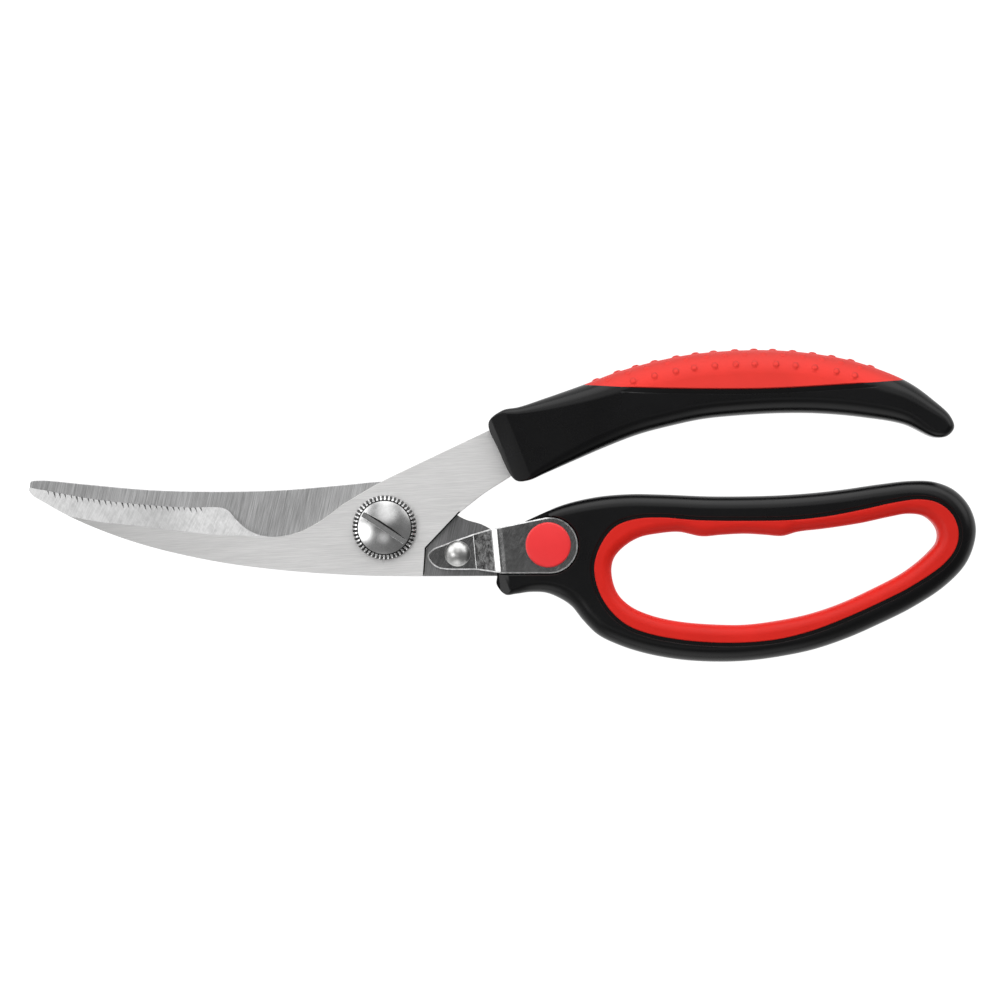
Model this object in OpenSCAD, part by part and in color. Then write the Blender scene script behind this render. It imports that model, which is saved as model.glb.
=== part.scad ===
// Locking poultry shears, lying on their back with the jaws closed.
// +X runs from the pivot towards the handles, +Y from the loop handle towards the
// other handle, +Z is up. The origin is on the pivot axis, on the resting plane.
// Sub-parts are drawn about the plane where the two blades meet, then raised.

/* [Overall] */
// Thickness of both handles, and so the height of the lying shears
handle_t = 15; // [14:0.5:17]
// Thickness of each blade
blade_t = 3; // [2.8:0.1:3.2]
// Gap between the blades' inner faces
blade_gap = 0.05; // [0.02:0.01:0.1]

/* [Pivot] */
// Radius of the pivot screw's shank
screw_r = 3; // [2.6:0.1:3.2]
// Radius of the domed screw head
head_r = 7.3; // [6.8:0.1:7.5]
// Width of the screwdriver slot
slot_w = 1.8; // [1:0.1:2]
// Outer radius of the knurled ring
ring_r = 8.7; // [8.4:0.1:9]
// Number of knurls around the ring
ring_teeth = 46; // [36:1:60]

/* [Edge] */
// Number of nicks in the front blade's cutting edge
nick_count = 18; // [10:1:20]
// Depth of each nick
nick_depth = 0.9; // [0.5:0.1:1.2]
// Thickness left at the cutting edges
edge_t = 0.6; // [0.4:0.1:0.9]

/* [Latch] */
// Thickness of the latch plate
plate_t = 0.8; // [0.6:0.1:0.9]
// Radius of the latch rivet's dome
rivet_head_r = 3.5; // [3:0.1:3.5]
// Radius of the red button
button_r = 6.1; // [5.5:0.1:6.5]

/* [Grip] */
// Height of the nubs on the upper grip pad
nub_h = 0.5; // [0.3:0.1:0.7]
// Distance between the nubs of a row
nub_pitch = 5.32; // [4.5:0.1:7]

/* [Hidden] */

half_t = handle_t / 2;
steel = [0.78, 0.78, 0.79];
dark_steel = [0.5, 0.5, 0.52];
polished = [0.62, 0.62, 0.64];
black = [0.08, 0.08, 0.09];
red = [0.85, 0.15, 0.13];

// Levels of the blades' faces above and below the plane where they meet.
front_low = blade_gap;
front_top = front_low + blade_t;
rear_low = -blade_t;

// Pivot stack.
sleeve_r = screw_r + 1;
sleeve_fit = 0.05;
washer_t = 0.3;
washer_low = front_top + 0.05;
ring_low = washer_low + washer_t;
ring_h = 1.9;
ring_top = ring_low + ring_h;
ring_seat = 0.7;
head_rise = 1.7;
lock_t = 0.8;
nut_top = rear_low - lock_t;
nut_low = -half_t;
nut_af = 12;
nut_flange_r = 7.6;
nut_flange_h = 1.2;

// Opening spring and the pocket that both blades share.
coil_r = 6.7;
wire_r = 0.45;
pocket_in = 5.6;
pocket_out = 7.8;
pocket_d = 1.2;
leg_len = 3.4;
leg_w = 1.4;
front_leg_angle = 24;
rear_leg_angle = -22;

// Latch: placed about its rivet, with u along the plate.
rivet_pos = [19.7, -7.05];
latch_angle = 5.5;
plate_low = 0.3;
plate_lift = 5.1;
rivet_r = 1.6;
rivet_play = 0.15;
dome_low = plate_low + plate_t + 0.25;
button_u = 24.6;
end_u = 25;
end_v = -0.15;
end_r = 7.56;
bed_top = 3.0;
well_low = 0.4;
well_r = 4.6;
stem_r = 1.5;
button_low = plate_low + plate_lift + plate_t;
button_h = 1.6;
nose_relief_top = 1.75;
nose_relief_in = 13.2;

// Tangs inside the handles.
pin_r = 1.5;
upper_pins = [[43, 26], [55.5, 31.5]];
lower_pins = [[36.5, -10.5], [49.6, -11.5]];

// Closed outline of the upper handle with its pad: x, y and edge rounding.
upper_shape = [
    [28.2, 28.6, 1.0], [31.5, 31.5, 1.6], [43.1, 35.0, 3.5], [54.1, 38.7, 5.0],
    [62.8, 42.0, 6.0], [72.8, 44.8, 6.5], [83.0, 46.8, 6.5], [94.6, 47.8, 6.5],
    [104.9, 47.9, 6.5], [115.7, 47.0, 6.5], [126.1, 45.1, 6.5], [136.5, 41.6, 5.6],
    [142.1, 38.4, 4.6], [147.5, 34.4, 3.6], [152.6, 30.2, 2.4], [153.7, 27.0, 1.9],
    [151.8, 24.7, 1.9], [148.5, 24.8, 2.1], [140.3, 28.3, 3.8], [129.2, 30.1, 4.5],
    [118.0, 31.0, 4.5], [107.0, 30.9, 4.5], [94.6, 30.2, 4.5], [86.0, 29.3, 4.5],
    [77.4, 27.7, 4.5], [68.7, 25.4, 4.5], [60.3, 22.2, 4.5], [51.7, 18.5, 3.8],
    [43.1, 14.7, 2.4], [39.2, 12.9, 1.4], [36.0, 12.5, 1.0], [34.3, 13.8, 1.0],
    [31.5, 20.7, 1.0]
];

// Line between the upper handle and its grip pad.
pad_line = [
    [54.1, 38.5], [67.1, 37.8], [86.0, 37.4], [103.3, 37.5], [120.6, 38.4],
    [133.5, 39.3], [139.9, 39.8]
];

// Closed outline of the lower handle: x, y and edge rounding.
lower_shape = [
    [31.5, -1.3, 0.8], [36.0, 0.7, 1.0], [42.0, 3.5, 2.0], [48.2, 6.1, 3.0],
    [57.1, 8.2, 3.5], [66.0, 9.0, 3.5], [74.9, 8.9, 3.5], [88.4, 8.4, 3.5],
    [104.6, 8.6, 3.5], [115.4, 9.3, 3.5], [124.3, 10.3, 3.5], [133.2, 11.6, 3.5],
    [142.2, 12.6, 3.5], [148.4, 12.3, 3.8], [153.8, 10.1, 4.0], [157.8, 5.8, 4.0],
    [159.6, 0.6, 4.0], [159.2, -4.3, 4.0], [156.3, -9.6, 4.0], [150.6, -15.3, 4.0],
    [142.2, -20.8, 4.0], [133.2, -25.7, 4.0], [124.3, -29.6, 4.0], [115.4, -32.7, 4.0],
    [106.2, -34.9, 4.0], [97.3, -36.0, 4.0], [88.4, -36.2, 4.0], [79.5, -35.6, 4.0],
    [70.6, -34.0, 4.0], [63.3, -31.7, 4.0], [57.9, -28.6, 4.0], [54.0, -24.6, 4.0],
    [50.9, -20.8, 4.0], [47.4, -18.5, 4.0], [43.6, -17.6, 3.4], [39.3, -17.4, 2.8],
    [35.5, -17.9, 1.8], [32.3, -18.0, 1.2], [30.3, -16.3, 0.9], [30.5, -13.2, 0.8]
];

// Closed outer outline of the loop's liner.
liner_outer = [
    [56.6, -10.1], [58.8, -3.8], [62.5, 0.4], [67.9, 2.3], [75.0, 2.7], [84.1, 2.0],
    [97.3, 1.8], [110.8, 2.1], [119.7, 3.1], [128.7, 4.8], [137.8, 6.8], [144.7, 7.6],
    [149.6, 6.5], [153.2, 3.4], [154.8, -0.9], [154.2, -5.2], [151.1, -9.6],
    [142.2, -15.8], [133.2, -20.4], [124.3, -24.4], [115.4, -27.8], [106.2, -30.1],
    [97.3, -31.0], [88.4, -31.0], [79.5, -30.2], [70.6, -28.4], [65.0, -26.0],
    [60.5, -21.8], [57.5, -16.3]
];

// Closed finger opening in the liner.
liner_inner = [
    [61.3, -12.3], [61.9, -8.4], [64.4, -4.8], [68.7, -2.2], [74.1, -1.1],
    [79.5, -1.2], [85.7, -2.4], [91.0, -2.0], [97.3, -1.7], [102.8, -2.0],
    [107.4, -2.3], [111.5, -1.2], [119.0, -0.3], [128.7, 1.2], [136.0, 2.8],
    [141.5, 3.7], [146.0, 2.9], [149.0, -0.3], [149.2, -3.6], [146.7, -6.9],
    [140.0, -11.7], [131.0, -16.5], [122.0, -20.8], [114.0, -23.8], [106.2, -25.5],
    [97.3, -26.3], [88.4, -26.2], [79.5, -25.4], [72.2, -23.8], [66.8, -21.0],
    [63.2, -17.4]
];
rim_round = 3;

// Edges of the blades.
front_edge = [
    [-95.7, 10.7], [-90.6, 9.8], [-80.3, 7.9], [-68.7, 6.5], [-54.1, 5.4], [-43.0, 5.0]
];
bone_notch = [
    [-43.0, 5.0], [-40.2, 2.2], [-37.3, -0.4], [-33.5, -2.1], [-29.0, -2.5],
    [-23.1, -1.2], [-17.0, 2.0], [-11.2, 6.3]
];
front_back = [
    [10.7, -13.2], [-7.2, -12.9], [-27.7, -11.5], [-45.2, -9.2], [-62.8, -5.3],
    [-74.7, -1.4], [-85.2, 3.1], [-94.4, 8.5]
];
bevel_line = [
    [-30, -2.4], [-43, -2.1], [-52.8, -1.2], [-67.6, 0.6], [-76, 1.4], [-85.2, 3.1],
    [-98, 6.5]
];
bevel_rim = [
    [-30, 4.8], [-43.0, 5.0], [-54.1, 5.4], [-68.7, 6.5], [-80.3, 7.9], [-90.6, 9.8],
    [-98, 11.2]
];
rear_spine = [
    [-95.2, 12.5], [-91.9, 12.7], [-80.3, 11.6], [-62.8, 10.1], [-45.2, 9.7],
    [-27.7, 10.1], [-12.0, 11.4], [-1.2, 12.4], [6.0, 12.4], [12.3, 10.1], [17.0, 6.4]
];
rear_edge = [
    [-18.0, -5.6], [-27.7, -4.4], [-43.1, -1.0], [-59.8, 2.6], [-74.7, 5.5],
    [-87.6, 7.9], [-95.2, 9.9]
];
rear_bevel_line = [
    [-14, 5.5], [-27.7, 3.0], [-43.1, 4.6], [-59.8, 7.4], [-74.7, 9.8], [-87.6, 12.2],
    [-98, 14.2]
];
rear_bevel_rim = [
    [-14, -6], [-27.7, -4.4], [-43.1, -1.0], [-59.8, 2.6], [-74.7, 5.5], [-87.6, 7.9],
    [-98, 10.4]
];

function knot(a, b) = sqrt(norm([b.x - a.x, b.y - a.y]));

// Point on a centripetal Catmull-Rom curve between p1 and p2.
function on_curve(p0, p1, p2, p3, s) =
    let (
        t1 = knot(p0, p1),
        t2 = t1 + knot(p1, p2),
        t3 = t2 + knot(p2, p3),
        t = t1 + s * (t2 - t1),
        a1 = (p0 * (t1 - t) + p1 * t) / t1,
        a2 = (p1 * (t2 - t) + p2 * (t - t1)) / (t2 - t1),
        a3 = (p2 * (t3 - t) + p3 * (t - t2)) / (t3 - t2),
        b1 = (a1 * (t2 - t) + a2 * t) / t2,
        b2 = (a2 * (t3 - t) + a3 * (t - t1)) / (t3 - t1)
    )
    (b1 * (t2 - t) + b2 * (t - t1)) / (t2 - t1);

function closed_curve(c, n) =
    let (m = len(c))
    [
        for (i = [0:m - 1])
            for (k = [0:n - 1])
                on_curve(c[(i + m - 1) % m], c[i], c[(i + 1) % m], c[(i + 2) % m], k / n)
    ];

function open_curve(c, n) =
    let (
        m = len(c),
        e = concat([2 * c[0] - c[1]], c, [2 * c[m - 1] - c[m - 2]])
    )
    concat(
        [
            for (i = [0:m - 2])
                for (k = [0:n - 1])
                    on_curve(e[i], e[i + 1], e[i + 2], e[i + 3], k / n)
        ],
        [c[m - 1]]
    );

// Unit vector to the right of a clockwise outline, which points inwards.
function inward(c, i) =
    let (
        m = len(c),
        d = c[(i + 1) % m] - c[(i + m - 1) % m],
        l = norm([d.x, d.y])
    )
    [d.y / l, -d.x / l];

// Joins equal loops of points into one solid, closed by a flat face at each end.
module skin(loops) {
    n = len(loops[0]);
    rows = len(loops);
    sides = [
        for (r = [0:rows - 2])
            for (i = [0:n - 1])
                for (f = [0, 1])
                    let (
                        j = (i + 1) % n,
                        a = r * n + i,
                        b = r * n + j,
                        c = (r + 1) * n + i,
                        d = (r + 1) * n + j
                    )
                    f == 0 ? [a, b, c] : [b, d, c]
    ];
    foot = [for (i = [0:n - 1]) n - 1 - i];
    top = [for (i = [0:n - 1]) (rows - 1) * n + i];
    polyhedron(
        points = [for (l = loops) each l],
        faces = concat(sides, [foot, top]),
        convexity = 8
    );
}

// Solid of a clockwise outline whose edges are rounded by each point's third value.
// The rounding runs just past the flat faces, which are then cut clean.
module rounded_plate(c, half, steps = 4) {
    m = len(c);
    past = 0.04;
    turns = concat(
        [for (k = [0:steps]) -90 + 90 * k / steps],
        [for (k = [0:steps]) 90 * k / steps]
    );
    signs = concat([for (k = [0:steps]) -1], [for (k = [0:steps]) 1]);
    intersection() {
        skin([
            for (k = [0:2 * steps + 1])
                [
                    for (i = [0:m - 1])
                        let (
                            r = c[i].z,
                            q = inward(c, i) * r * (1 - cos(turns[k])),
                            z = signs[k] * (half + past - r * (1 - abs(sin(turns[k]))))
                        )
                        [c[i].x + q.x, c[i].y + q.y, z]
                ]
        ]);
        translate([0, -60, -half])
            cube([200, 120, 2 * half]);
    }
}

// Round wire swept along a list of points.
module wire(path, r, sides) {
    m = len(path);
    skin([
        for (i = [0:m - 1])
            let (
                d = path[min(i + 1, m - 1)] - path[max(i - 1, 0)],
                t = d / norm(d),
                side = cross(t, [0, 0, 1]),
                u = side / norm(side),
                v = cross(u, t)
            )
            [
                for (k = [0:sides - 1])
                    path[i] + r * (cos(360 * k / sides) * u - sin(360 * k / sides) * v)
            ]
    ]);
}

// Slanted cutter that grinds a bevel from a line on a face out past the edge.
module bevel_cutter(line, rim, face, edge, n) {
    s = sign(face - edge);
    grow = 0.25;
    a = open_curve(line, n);
    b = open_curve(rim, n);
    loops = [
        for (i = [0:len(a) - 1])
            let (
                d = b[i] - a[i],
                drop = face - edge,
                near = a[i] - d * grow,
                far = b[i] + d * grow
            )
            [
                [near.x, near.y, face + drop * grow],
                [far.x, far.y, edge - drop * grow],
                [far.x, far.y, face + s * 2],
                [near.x, near.y, face + s * 2]
            ]
    ];
    skin(loops);
}

module ring_sector(r1, r2, a1, a2, h) {
    rotate([0, 0, a1])
        rotate_extrude(angle = a2 - a1, $fn = 96)
            translate([r1, 0])
                square([r2 - r1, h]);
}

module front_plan() {
    polygon(concat(
        open_curve(front_edge, 5),
        [for (i = [1:28]) open_curve(bone_notch, 4)[i]],
        [[-1.2, 12.3], [27.9, 26.1], [33.5, 28.2], [47, 32.5], [60, 37.6]],
        [[62, 32.5], [47, 22.5], [36.8, 16.6], [33.8, 13.6]],
        [[27.0, 9.3], [23.9, 6.9], [20.9, 4.5], [19.5, 3.2], [11.2, -5.6]],
        open_curve(front_back, 4)
    ));
}

module front_blade() {
    color(steel)
        difference() {
            translate([0, 0, front_low])
                linear_extrude(blade_t)
                    front_plan();
            translate([0, 0, -1])
                cylinder(h = blade_t + 2, r = sleeve_r + sleeve_fit, $fn = 96);
            bevel_cutter(bevel_line, bevel_rim, front_top, front_low + edge_t, 3);
            nicks();
            translate([0, 0, -1])
                ring_sector(pocket_in, pocket_out, 0, 360, 1 + front_low + pocket_d);
            rotate([0, 0, front_leg_angle])
                translate([coil_r, -leg_w / 2, -1])
                    cube([leg_len + 1, leg_w, 1 + front_low + pocket_d]);
            translate([0, 0, -1])
                ring_sector(nose_relief_in, 24, -100, -10, 1 + nose_relief_top);
            for (p = upper_pins)
                translate([p.x, p.y, -1])
                    cylinder(h = blade_t + 2, r = pin_r, $fn = 48);
        }
}

module nicks() {
    first = 0.09;
    last = 0.91;
    path = open_curve(front_edge, 24);
    m = len(path) - 1;
    for (k = [0:nick_count - 1]) {
        i = round(m * (first + (last - first) * k / (nick_count - 1)));
        d = path[i + 1] - path[i];
        translate([path[i].x, path[i].y, -0.5])
            rotate([0, 0, atan2(d.y, d.x)])
                linear_extrude(blade_t + 1)
                    polygon([[-0.5, 0.4], [0.85, 0.4], [-0.15, -nick_depth]]);
    }
}

module rear_plan() {
    polygon(concat(
        open_curve(rear_spine, 4),
        [[19.6, 3.4], [22.0, 2.1], [26.3, 0.8], [30.6, -1.6], [34, -2.6]],
        [[50, -2.6], [53, -5.5], [53, -11], [50, -13.6], [34, -13.1]],
        [[10.7, -13.2], [1.5, -12.6], [-7.0, -11.0], [-13.0, -8.4]],
        open_curve(rear_edge, 4)
    ));
}

module rear_blade() {
    color(dark_steel)
        difference() {
            translate([0, 0, rear_low])
                linear_extrude(blade_t)
                    rear_plan();
            translate([0, 0, rear_low - 1])
                cylinder(h = blade_t + 2, r = sleeve_r, $fn = 96);
            bevel_cutter(rear_bevel_line, rear_bevel_rim, rear_low, -edge_t, 3);
            translate([0, 0, -pocket_d])
                ring_sector(pocket_in, pocket_out, 0, 360, 1 + pocket_d);
            rotate([0, 0, rear_leg_angle])
                translate([coil_r, -leg_w / 2, -pocket_d])
                    cube([leg_len + 1, leg_w, 1 + pocket_d]);
            translate([rivet_pos.x, rivet_pos.y, rear_low - 1])
                cylinder(h = blade_t + 2, r = rivet_r, $fn = 48);
            for (p = lower_pins)
                translate([p.x, p.y, rear_low - 1])
                    cylinder(h = blade_t + 2, r = pin_r, $fn = 48);
        }
}

module pivot_screw() {
    seat = ring_top - ring_seat;
    sphere_r = (head_r * head_r + head_rise * head_rise) / (2 * head_rise);
    color(polished)
        difference() {
            union() {
                translate([0, 0, nut_low + 1.5])
                    cylinder(h = seat - nut_low - 1.5, r = screw_r, $fn = 96);
                translate([0, 0, seat])
                    cylinder(h = ring_seat, r = head_r, $fn = 96);
                intersection() {
                    translate([0, 0, ring_top + head_rise - sphere_r])
                        sphere(r = sphere_r, $fn = 128);
                    translate([0, 0, ring_top])
                        cylinder(h = head_rise + 1, r = head_r, $fn = 96);
                }
            }
            rotate([0, 0, -33.3])
                translate([-head_r - 1, -slot_w / 2, ring_top + 0.1])
                    cube([2 * head_r + 2, slot_w, head_rise + 1]);
        }
}

module knurled_ring() {
    valley = 0.55;
    color(polished)
        difference() {
            intersection() {
                translate([0, 0, ring_low])
                    linear_extrude(ring_h)
                        polygon([
                            for (i = [0:2 * ring_teeth - 1])
                                let (r = i % 2 == 0 ? ring_r : ring_r - valley)
                                [r * cos(180 * i / ring_teeth), r * sin(180 * i / ring_teeth)]
                        ]);
                translate([0, 0, ring_low - 0.1])
                    cylinder(h = ring_h + 0.2, r1 = ring_r + 1.2, r2 = ring_r - 0.75, $fn = 96);
            }
            translate([0, 0, ring_low - 1])
                cylinder(h = ring_h + 2, r = screw_r + 0.2, $fn = 96);
            translate([0, 0, ring_top - ring_seat])
                cylinder(h = ring_seat + 1, r = head_r + 0.05, $fn = 96);
        }
}

module tube(r_in, r_out, low, high) {
    difference() {
        translate([0, 0, low])
            cylinder(h = high - low, r = r_out, $fn = 96);
        translate([0, 0, low - 1])
            cylinder(h = high - low + 2, r = r_in, $fn = 96);
    }
}

module thrust_washer() {
    color([0.9, 0.9, 0.88])
        tube(screw_r + 0.2, 7.6, washer_low, ring_low);
}

module pivot_sleeve() {
    color([0.75, 0.6, 0.3])
        tube(screw_r, sleeve_r, rear_low, front_top);
}

module opening_spring() {
    turns = 2;
    steps = 20;
    low = -pocket_d + wire_r + 0.08;
    high = front_low + pocket_d - wire_r - 0.08;
    span = front_leg_angle - rear_leg_angle + 360 * turns;
    count = round(steps * span / 360);
    coil = [
        for (i = [0:count])
            let (a = rear_leg_angle + span * i / count)
            [coil_r * cos(a), coil_r * sin(a), low + (high - low) * i / count]
    ];
    foot = concat([for (r = [leg_len, 0.9]) (coil_r + r) * [cos(rear_leg_angle), sin(rear_leg_angle)]]);
    head = concat([for (r = [0.9, leg_len]) (coil_r + r) * [cos(front_leg_angle), sin(front_leg_angle)]]);
    color(polished)
        wire(
            concat(
                [for (p = foot) [p.x, p.y, low]],
                coil,
                [for (p = head) [p.x, p.y, high]]
            ),
            wire_r, 8
        );
}

module lock_washer() {
    color(polished)
        difference() {
            tube(screw_r + 0.1, 5.6, nut_top, rear_low);
            rotate([0, 0, 200])
                translate([screw_r - 1, -0.4, nut_top - 1])
                    cube([6, 0.8, lock_t + 2]);
        }
}

module pivot_nut() {
    color(polished)
        difference() {
            union() {
                translate([0, 0, nut_low])
                    cylinder(h = nut_top - nut_low, d = nut_af / cos(30), $fn = 6);
                translate([0, 0, nut_top - nut_flange_h])
                    cylinder(h = nut_flange_h, r = nut_flange_r, $fn = 96);
            }
            translate([0, 0, nut_low + 1.5])
                cylinder(h = nut_top - nut_low, r = screw_r, $fn = 96);
        }
}

// Region of the upper handle that the grip pad covers, seen from above.
module pad_region() {
    polygon(concat(open_curve(pad_line, 4), [[145, 44], [140, 60], [60, 60], [50, 45]]));
}

// Core that the grip pad is moulded round.
module pad_tongue(grow) {
    line = open_curve(pad_line, 4);
    m = len(line) - 1;
    reach = 6.2;
    translate([0, 0, -half_t + 3 - grow])
        linear_extrude(2 * (half_t - 3 + grow))
            polygon(concat(
                [for (p = line) [p.x, p.y - 1]],
                [
                    for (i = [m:-1:0])
                        let (s = sin(180 * i / m))
                        [line[i].x, line[i].y - 0.99 + (reach + grow) * s]
                ]
            ));
}

module upper_envelope() {
    rounded_plate(closed_curve(upper_shape, 3), half_t);
}

module upper_handle() {
    color(black)
        difference() {
            union() {
                difference() {
                    upper_envelope();
                    translate([0, 0, -half_t - 1])
                        linear_extrude(handle_t + 2)
                            pad_region();
                }
                pad_tongue(0);
            }
            translate([0, 0, front_low])
                linear_extrude(blade_t)
                    front_plan();
            for (p = upper_pins)
                translate([p.x, p.y, -5])
                    cylinder(h = 10.5, r = pin_r, $fn = 48);
        }
}

module upper_grip_pad() {
    color(red)
        difference() {
            union() {
                intersection() {
                    upper_envelope();
                    translate([0, 0, -half_t - 1])
                        linear_extrude(handle_t + 2)
                            pad_region();
                }
                nubs();
            }
            pad_tongue(0);
        }
}

// Rows of nubs over the pad's crown, every other row set half a pitch along.
module nubs() {
    fine = 12;
    crown = closed_curve(upper_shape, fine);
    along = [for (i = [2 * fine:12 * fine]) [crown[i].x, i]];
    first = 57.2;
    last = 137.5;
    face_first = 66;
    face_last = 129;
    row_tilt = 31;
    sunk = 0.5;
    for (row = [-2:2])
        for (x = [first + (row % 2 == 0 ? 0 : nub_pitch / 2):nub_pitch:last])
            if (abs(row) < 2 || (x > face_first && x < face_last)) {
                i = round(lookup(x, along));
                tilt = row * row_tilt;
                r = crown[i].z;
                q = inward(crown, i);
                translate([
                    crown[i].x + q.x * r * (1 - cos(tilt)),
                    crown[i].y + q.y * r * (1 - cos(tilt)),
                    sign(row) * (half_t - r * (1 - abs(sin(tilt))))
                ])
                    rotate([0, 90 - tilt, atan2(-q.y, -q.x)])
                        translate([0, 0, -sunk])
                            cylinder(h = sunk + nub_h, r1 = 1.15, r2 = 0.5, $fn = 8);
            }
}

module upper_anchor_pins() {
    color(steel)
        for (p = upper_pins)
            translate([p.x, p.y, -5])
                cylinder(h = 10.5, r = pin_r, $fn = 48);
}

// Plan of the latch plate about its rivet, grown by m all round.
module latch_plan(m) {
    polygon(concat(
        [[-8.1 - m, 0.3], [-6.8 - m, 1.7 + m], [-3.1, 2.9 + m], [4.9, 4.9 + m]],
        [[9.4, 5.8 + m]],
        [
            for (a = [96:-8:-96])
                [end_u + (end_r + m) * cos(a), end_v + (end_r + m) * sin(a)]
        ],
        [[11.8, -6.5 - m], [4.9, -4.9 - m], [-4.5, -3.8 - m], [-6.2 - m, -3.0 - m]],
        [[-7.5 - m, -1.6]]
    ));
}

module at_latch() {
    translate([rivet_pos.x, rivet_pos.y, 0])
        rotate([0, 0, latch_angle])
            children();
}

module latch_plate() {
    low = plate_low;
    high = plate_low + plate_lift;
    side = [
        [-10, low], [4.7, low], [9.7, low + 2.9], [11.9, high], [35, high],
        [35, high + plate_t], [11.5, high + plate_t], [9.2, low + 2.9 + plate_t],
        [4.4, low + plate_t], [-10, low + plate_t]
    ];
    color(polished)
        at_latch()
            difference() {
                intersection() {
                    translate([0, 0, -1])
                        linear_extrude(handle_t)
                            latch_plan(0);
                    translate([0, 12, 0])
                        rotate([90, 0, 0])
                            linear_extrude(24)
                                polygon(side);
                }
                translate([0, 0, -1])
                    cylinder(h = 4, r = rivet_r + rivet_play, $fn = 48);
                translate([button_u, 0, high - 1])
                    cylinder(h = 4, r = stem_r, $fn = 48);
            }
}

module latch_rivet() {
    rise = 2.0;
    sphere_r = (rivet_head_r * rivet_head_r + rise * rise) / (2 * rise);
    color(polished)
        translate([rivet_pos.x, rivet_pos.y, 0]) {
            translate([0, 0, rear_low - 1.3])
                cylinder(h = dome_low - rear_low + 1.4, r = rivet_r, $fn = 96);
            intersection() {
                translate([0, 0, dome_low + rise - sphere_r])
                    sphere(r = sphere_r, $fn = 96);
                translate([0, 0, dome_low])
                    cylinder(h = rise + 1, r = rivet_head_r, $fn = 96);
            }
            translate([0, 0, rear_low - 1.3])
                cylinder(h = 0.8, r1 = 2.1, r2 = 2.7, $fn = 96);
        }
}

module latch_rivet_washer() {
    color(steel)
        translate([rivet_pos.x, rivet_pos.y, 0])
            tube(rivet_r, 3.4, rear_low - 0.5, rear_low);
}

module latch_button() {
    crown = 0.5;
    sphere_r = (button_r * button_r + crown * crown) / (2 * crown);
    color(red)
        at_latch()
            translate([button_u, 0, 0])
                difference() {
                    intersection() {
                        translate([0, 0, button_low])
                            cylinder(h = button_h, r = button_r, $fn = 96);
                        translate([0, 0, button_low + button_h - sphere_r])
                            sphere(r = sphere_r, $fn = 160);
                    }
                    translate([0, 0, button_low - 1])
                        cylinder(h = 1.9, r = stem_r, $fn = 48);
                }
}

module button_stem() {
    color(polished)
        at_latch()
            translate([button_u, 0, 2.4])
                cylinder(h = button_low + 0.9 - 2.4, r = stem_r, $fn = 48);
}

module button_stem_clip() {
    color(steel)
        at_latch()
            translate([button_u, 0, 0])
                tube(stem_r, 4.1, button_low - plate_t - 0.4, button_low - plate_t);
}

module button_spring() {
    turns = 4;
    steps = 14;
    r = 0.3;
    mean = 2.9;
    low = well_low + r + 0.02;
    high = button_low - plate_t - 0.4 - r - 0.02;
    count = turns * steps;
    color(polished)
        at_latch()
            translate([button_u, 0, 0])
                wire(
                    [
                        for (i = [0:count])
                            let (a = 360 * i / steps, s = i / count)
                            [
                                mean * cos(a), mean * sin(a),
                                low + (high - low) * max(0, min(1, (s * turns - 0.5) / (turns - 1)))
                            ]
                    ],
                    r, 6
                );
}

module lower_handle() {
    color(black)
        difference() {
            rounded_plate(closed_curve(lower_shape, 3), half_t);
            translate([0, 0, -half_t - 1])
                linear_extrude(handle_t + 2)
                    polygon(closed_curve(liner_outer, 4));
            translate([0, 0, rear_low])
                linear_extrude(blade_t)
                    rear_plan();
            at_latch() {
                translate([0, 0, bed_top])
                    linear_extrude(handle_t)
                        latch_plan(0.4);
                translate([-12, 0, bed_top])
                    cube([12 + end_u + 0.5, 20, handle_t]);
                translate([-12, -11, bed_top])
                    cube([12 + 10.6, 20, handle_t]);
                translate([button_u, 0, well_low])
                    cylinder(h = handle_t, r = well_r, $fn = 96);
            }
            for (p = lower_pins)
                translate([p.x, p.y, rear_low - 3])
                    cylinder(h = 8.4, r = pin_r, $fn = 48);
        }
}

module lower_grip_liner() {
    inner = closed_curve([for (p = liner_inner) [p.x, p.y, -rim_round]], 4);
    color(red)
        difference() {
            translate([0, 0, -half_t])
                linear_extrude(handle_t)
                    polygon(closed_curve(liner_outer, 4));
            rim_cutter(inner);
        }
}

// Hole of a clockwise outline that flares by rim_round at both faces.
module rim_cutter(c) {
    steps = 4;
    m = len(c);
    turns = [for (k = [-steps:steps]) 90 * k / steps];
    body = [
        for (a = turns)
            [
                for (i = [0:m - 1])
                    let (q = inward(c, i) * rim_round * (1 - cos(a)))
                    [
                        c[i].x - q.x, c[i].y - q.y,
                        (half_t - rim_round) * sign(a) + rim_round * sin(a)
                    ]
            ]
    ];
    skin(concat(
        [[for (p = body[0]) [p.x, p.y, -half_t - 1]]],
        body,
        [[for (p = body[2 * steps]) [p.x, p.y, half_t + 1]]]
    ));
}

module lower_anchor_pins() {
    color(steel)
        for (p = lower_pins)
            translate([p.x, p.y, rear_low - 3])
                cylinder(h = 8.4, r = pin_r, $fn = 48);
}

module lying() {
    translate([0, 0, half_t])
        children();
}

lying() front_blade();
lying() rear_blade();
lying() pivot_screw();
lying() knurled_ring();
lying() thrust_washer();
lying() pivot_sleeve();
lying() opening_spring();
lying() lock_washer();
lying() pivot_nut();
lying() upper_handle();
lying() upper_grip_pad();
lying() upper_anchor_pins();
lying() lower_handle();
lying() lower_grip_liner();
lying() lower_anchor_pins();
lying() latch_plate();
lying() latch_rivet();
lying() latch_rivet_washer();
lying() latch_button();
lying() button_stem();
lying() button_stem_clip();
lying() button_spring();
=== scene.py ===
"""Poultry shears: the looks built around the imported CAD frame.

Shapes are worked out in millimetres about the plane where the blades meet, with +X towards
the handles and +Y towards the open handle, then scaled to metres and raised into the row frame.
"""

import math

import bmesh
import bpy
import numpy as np
from mathutils import Matrix, Vector


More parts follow.
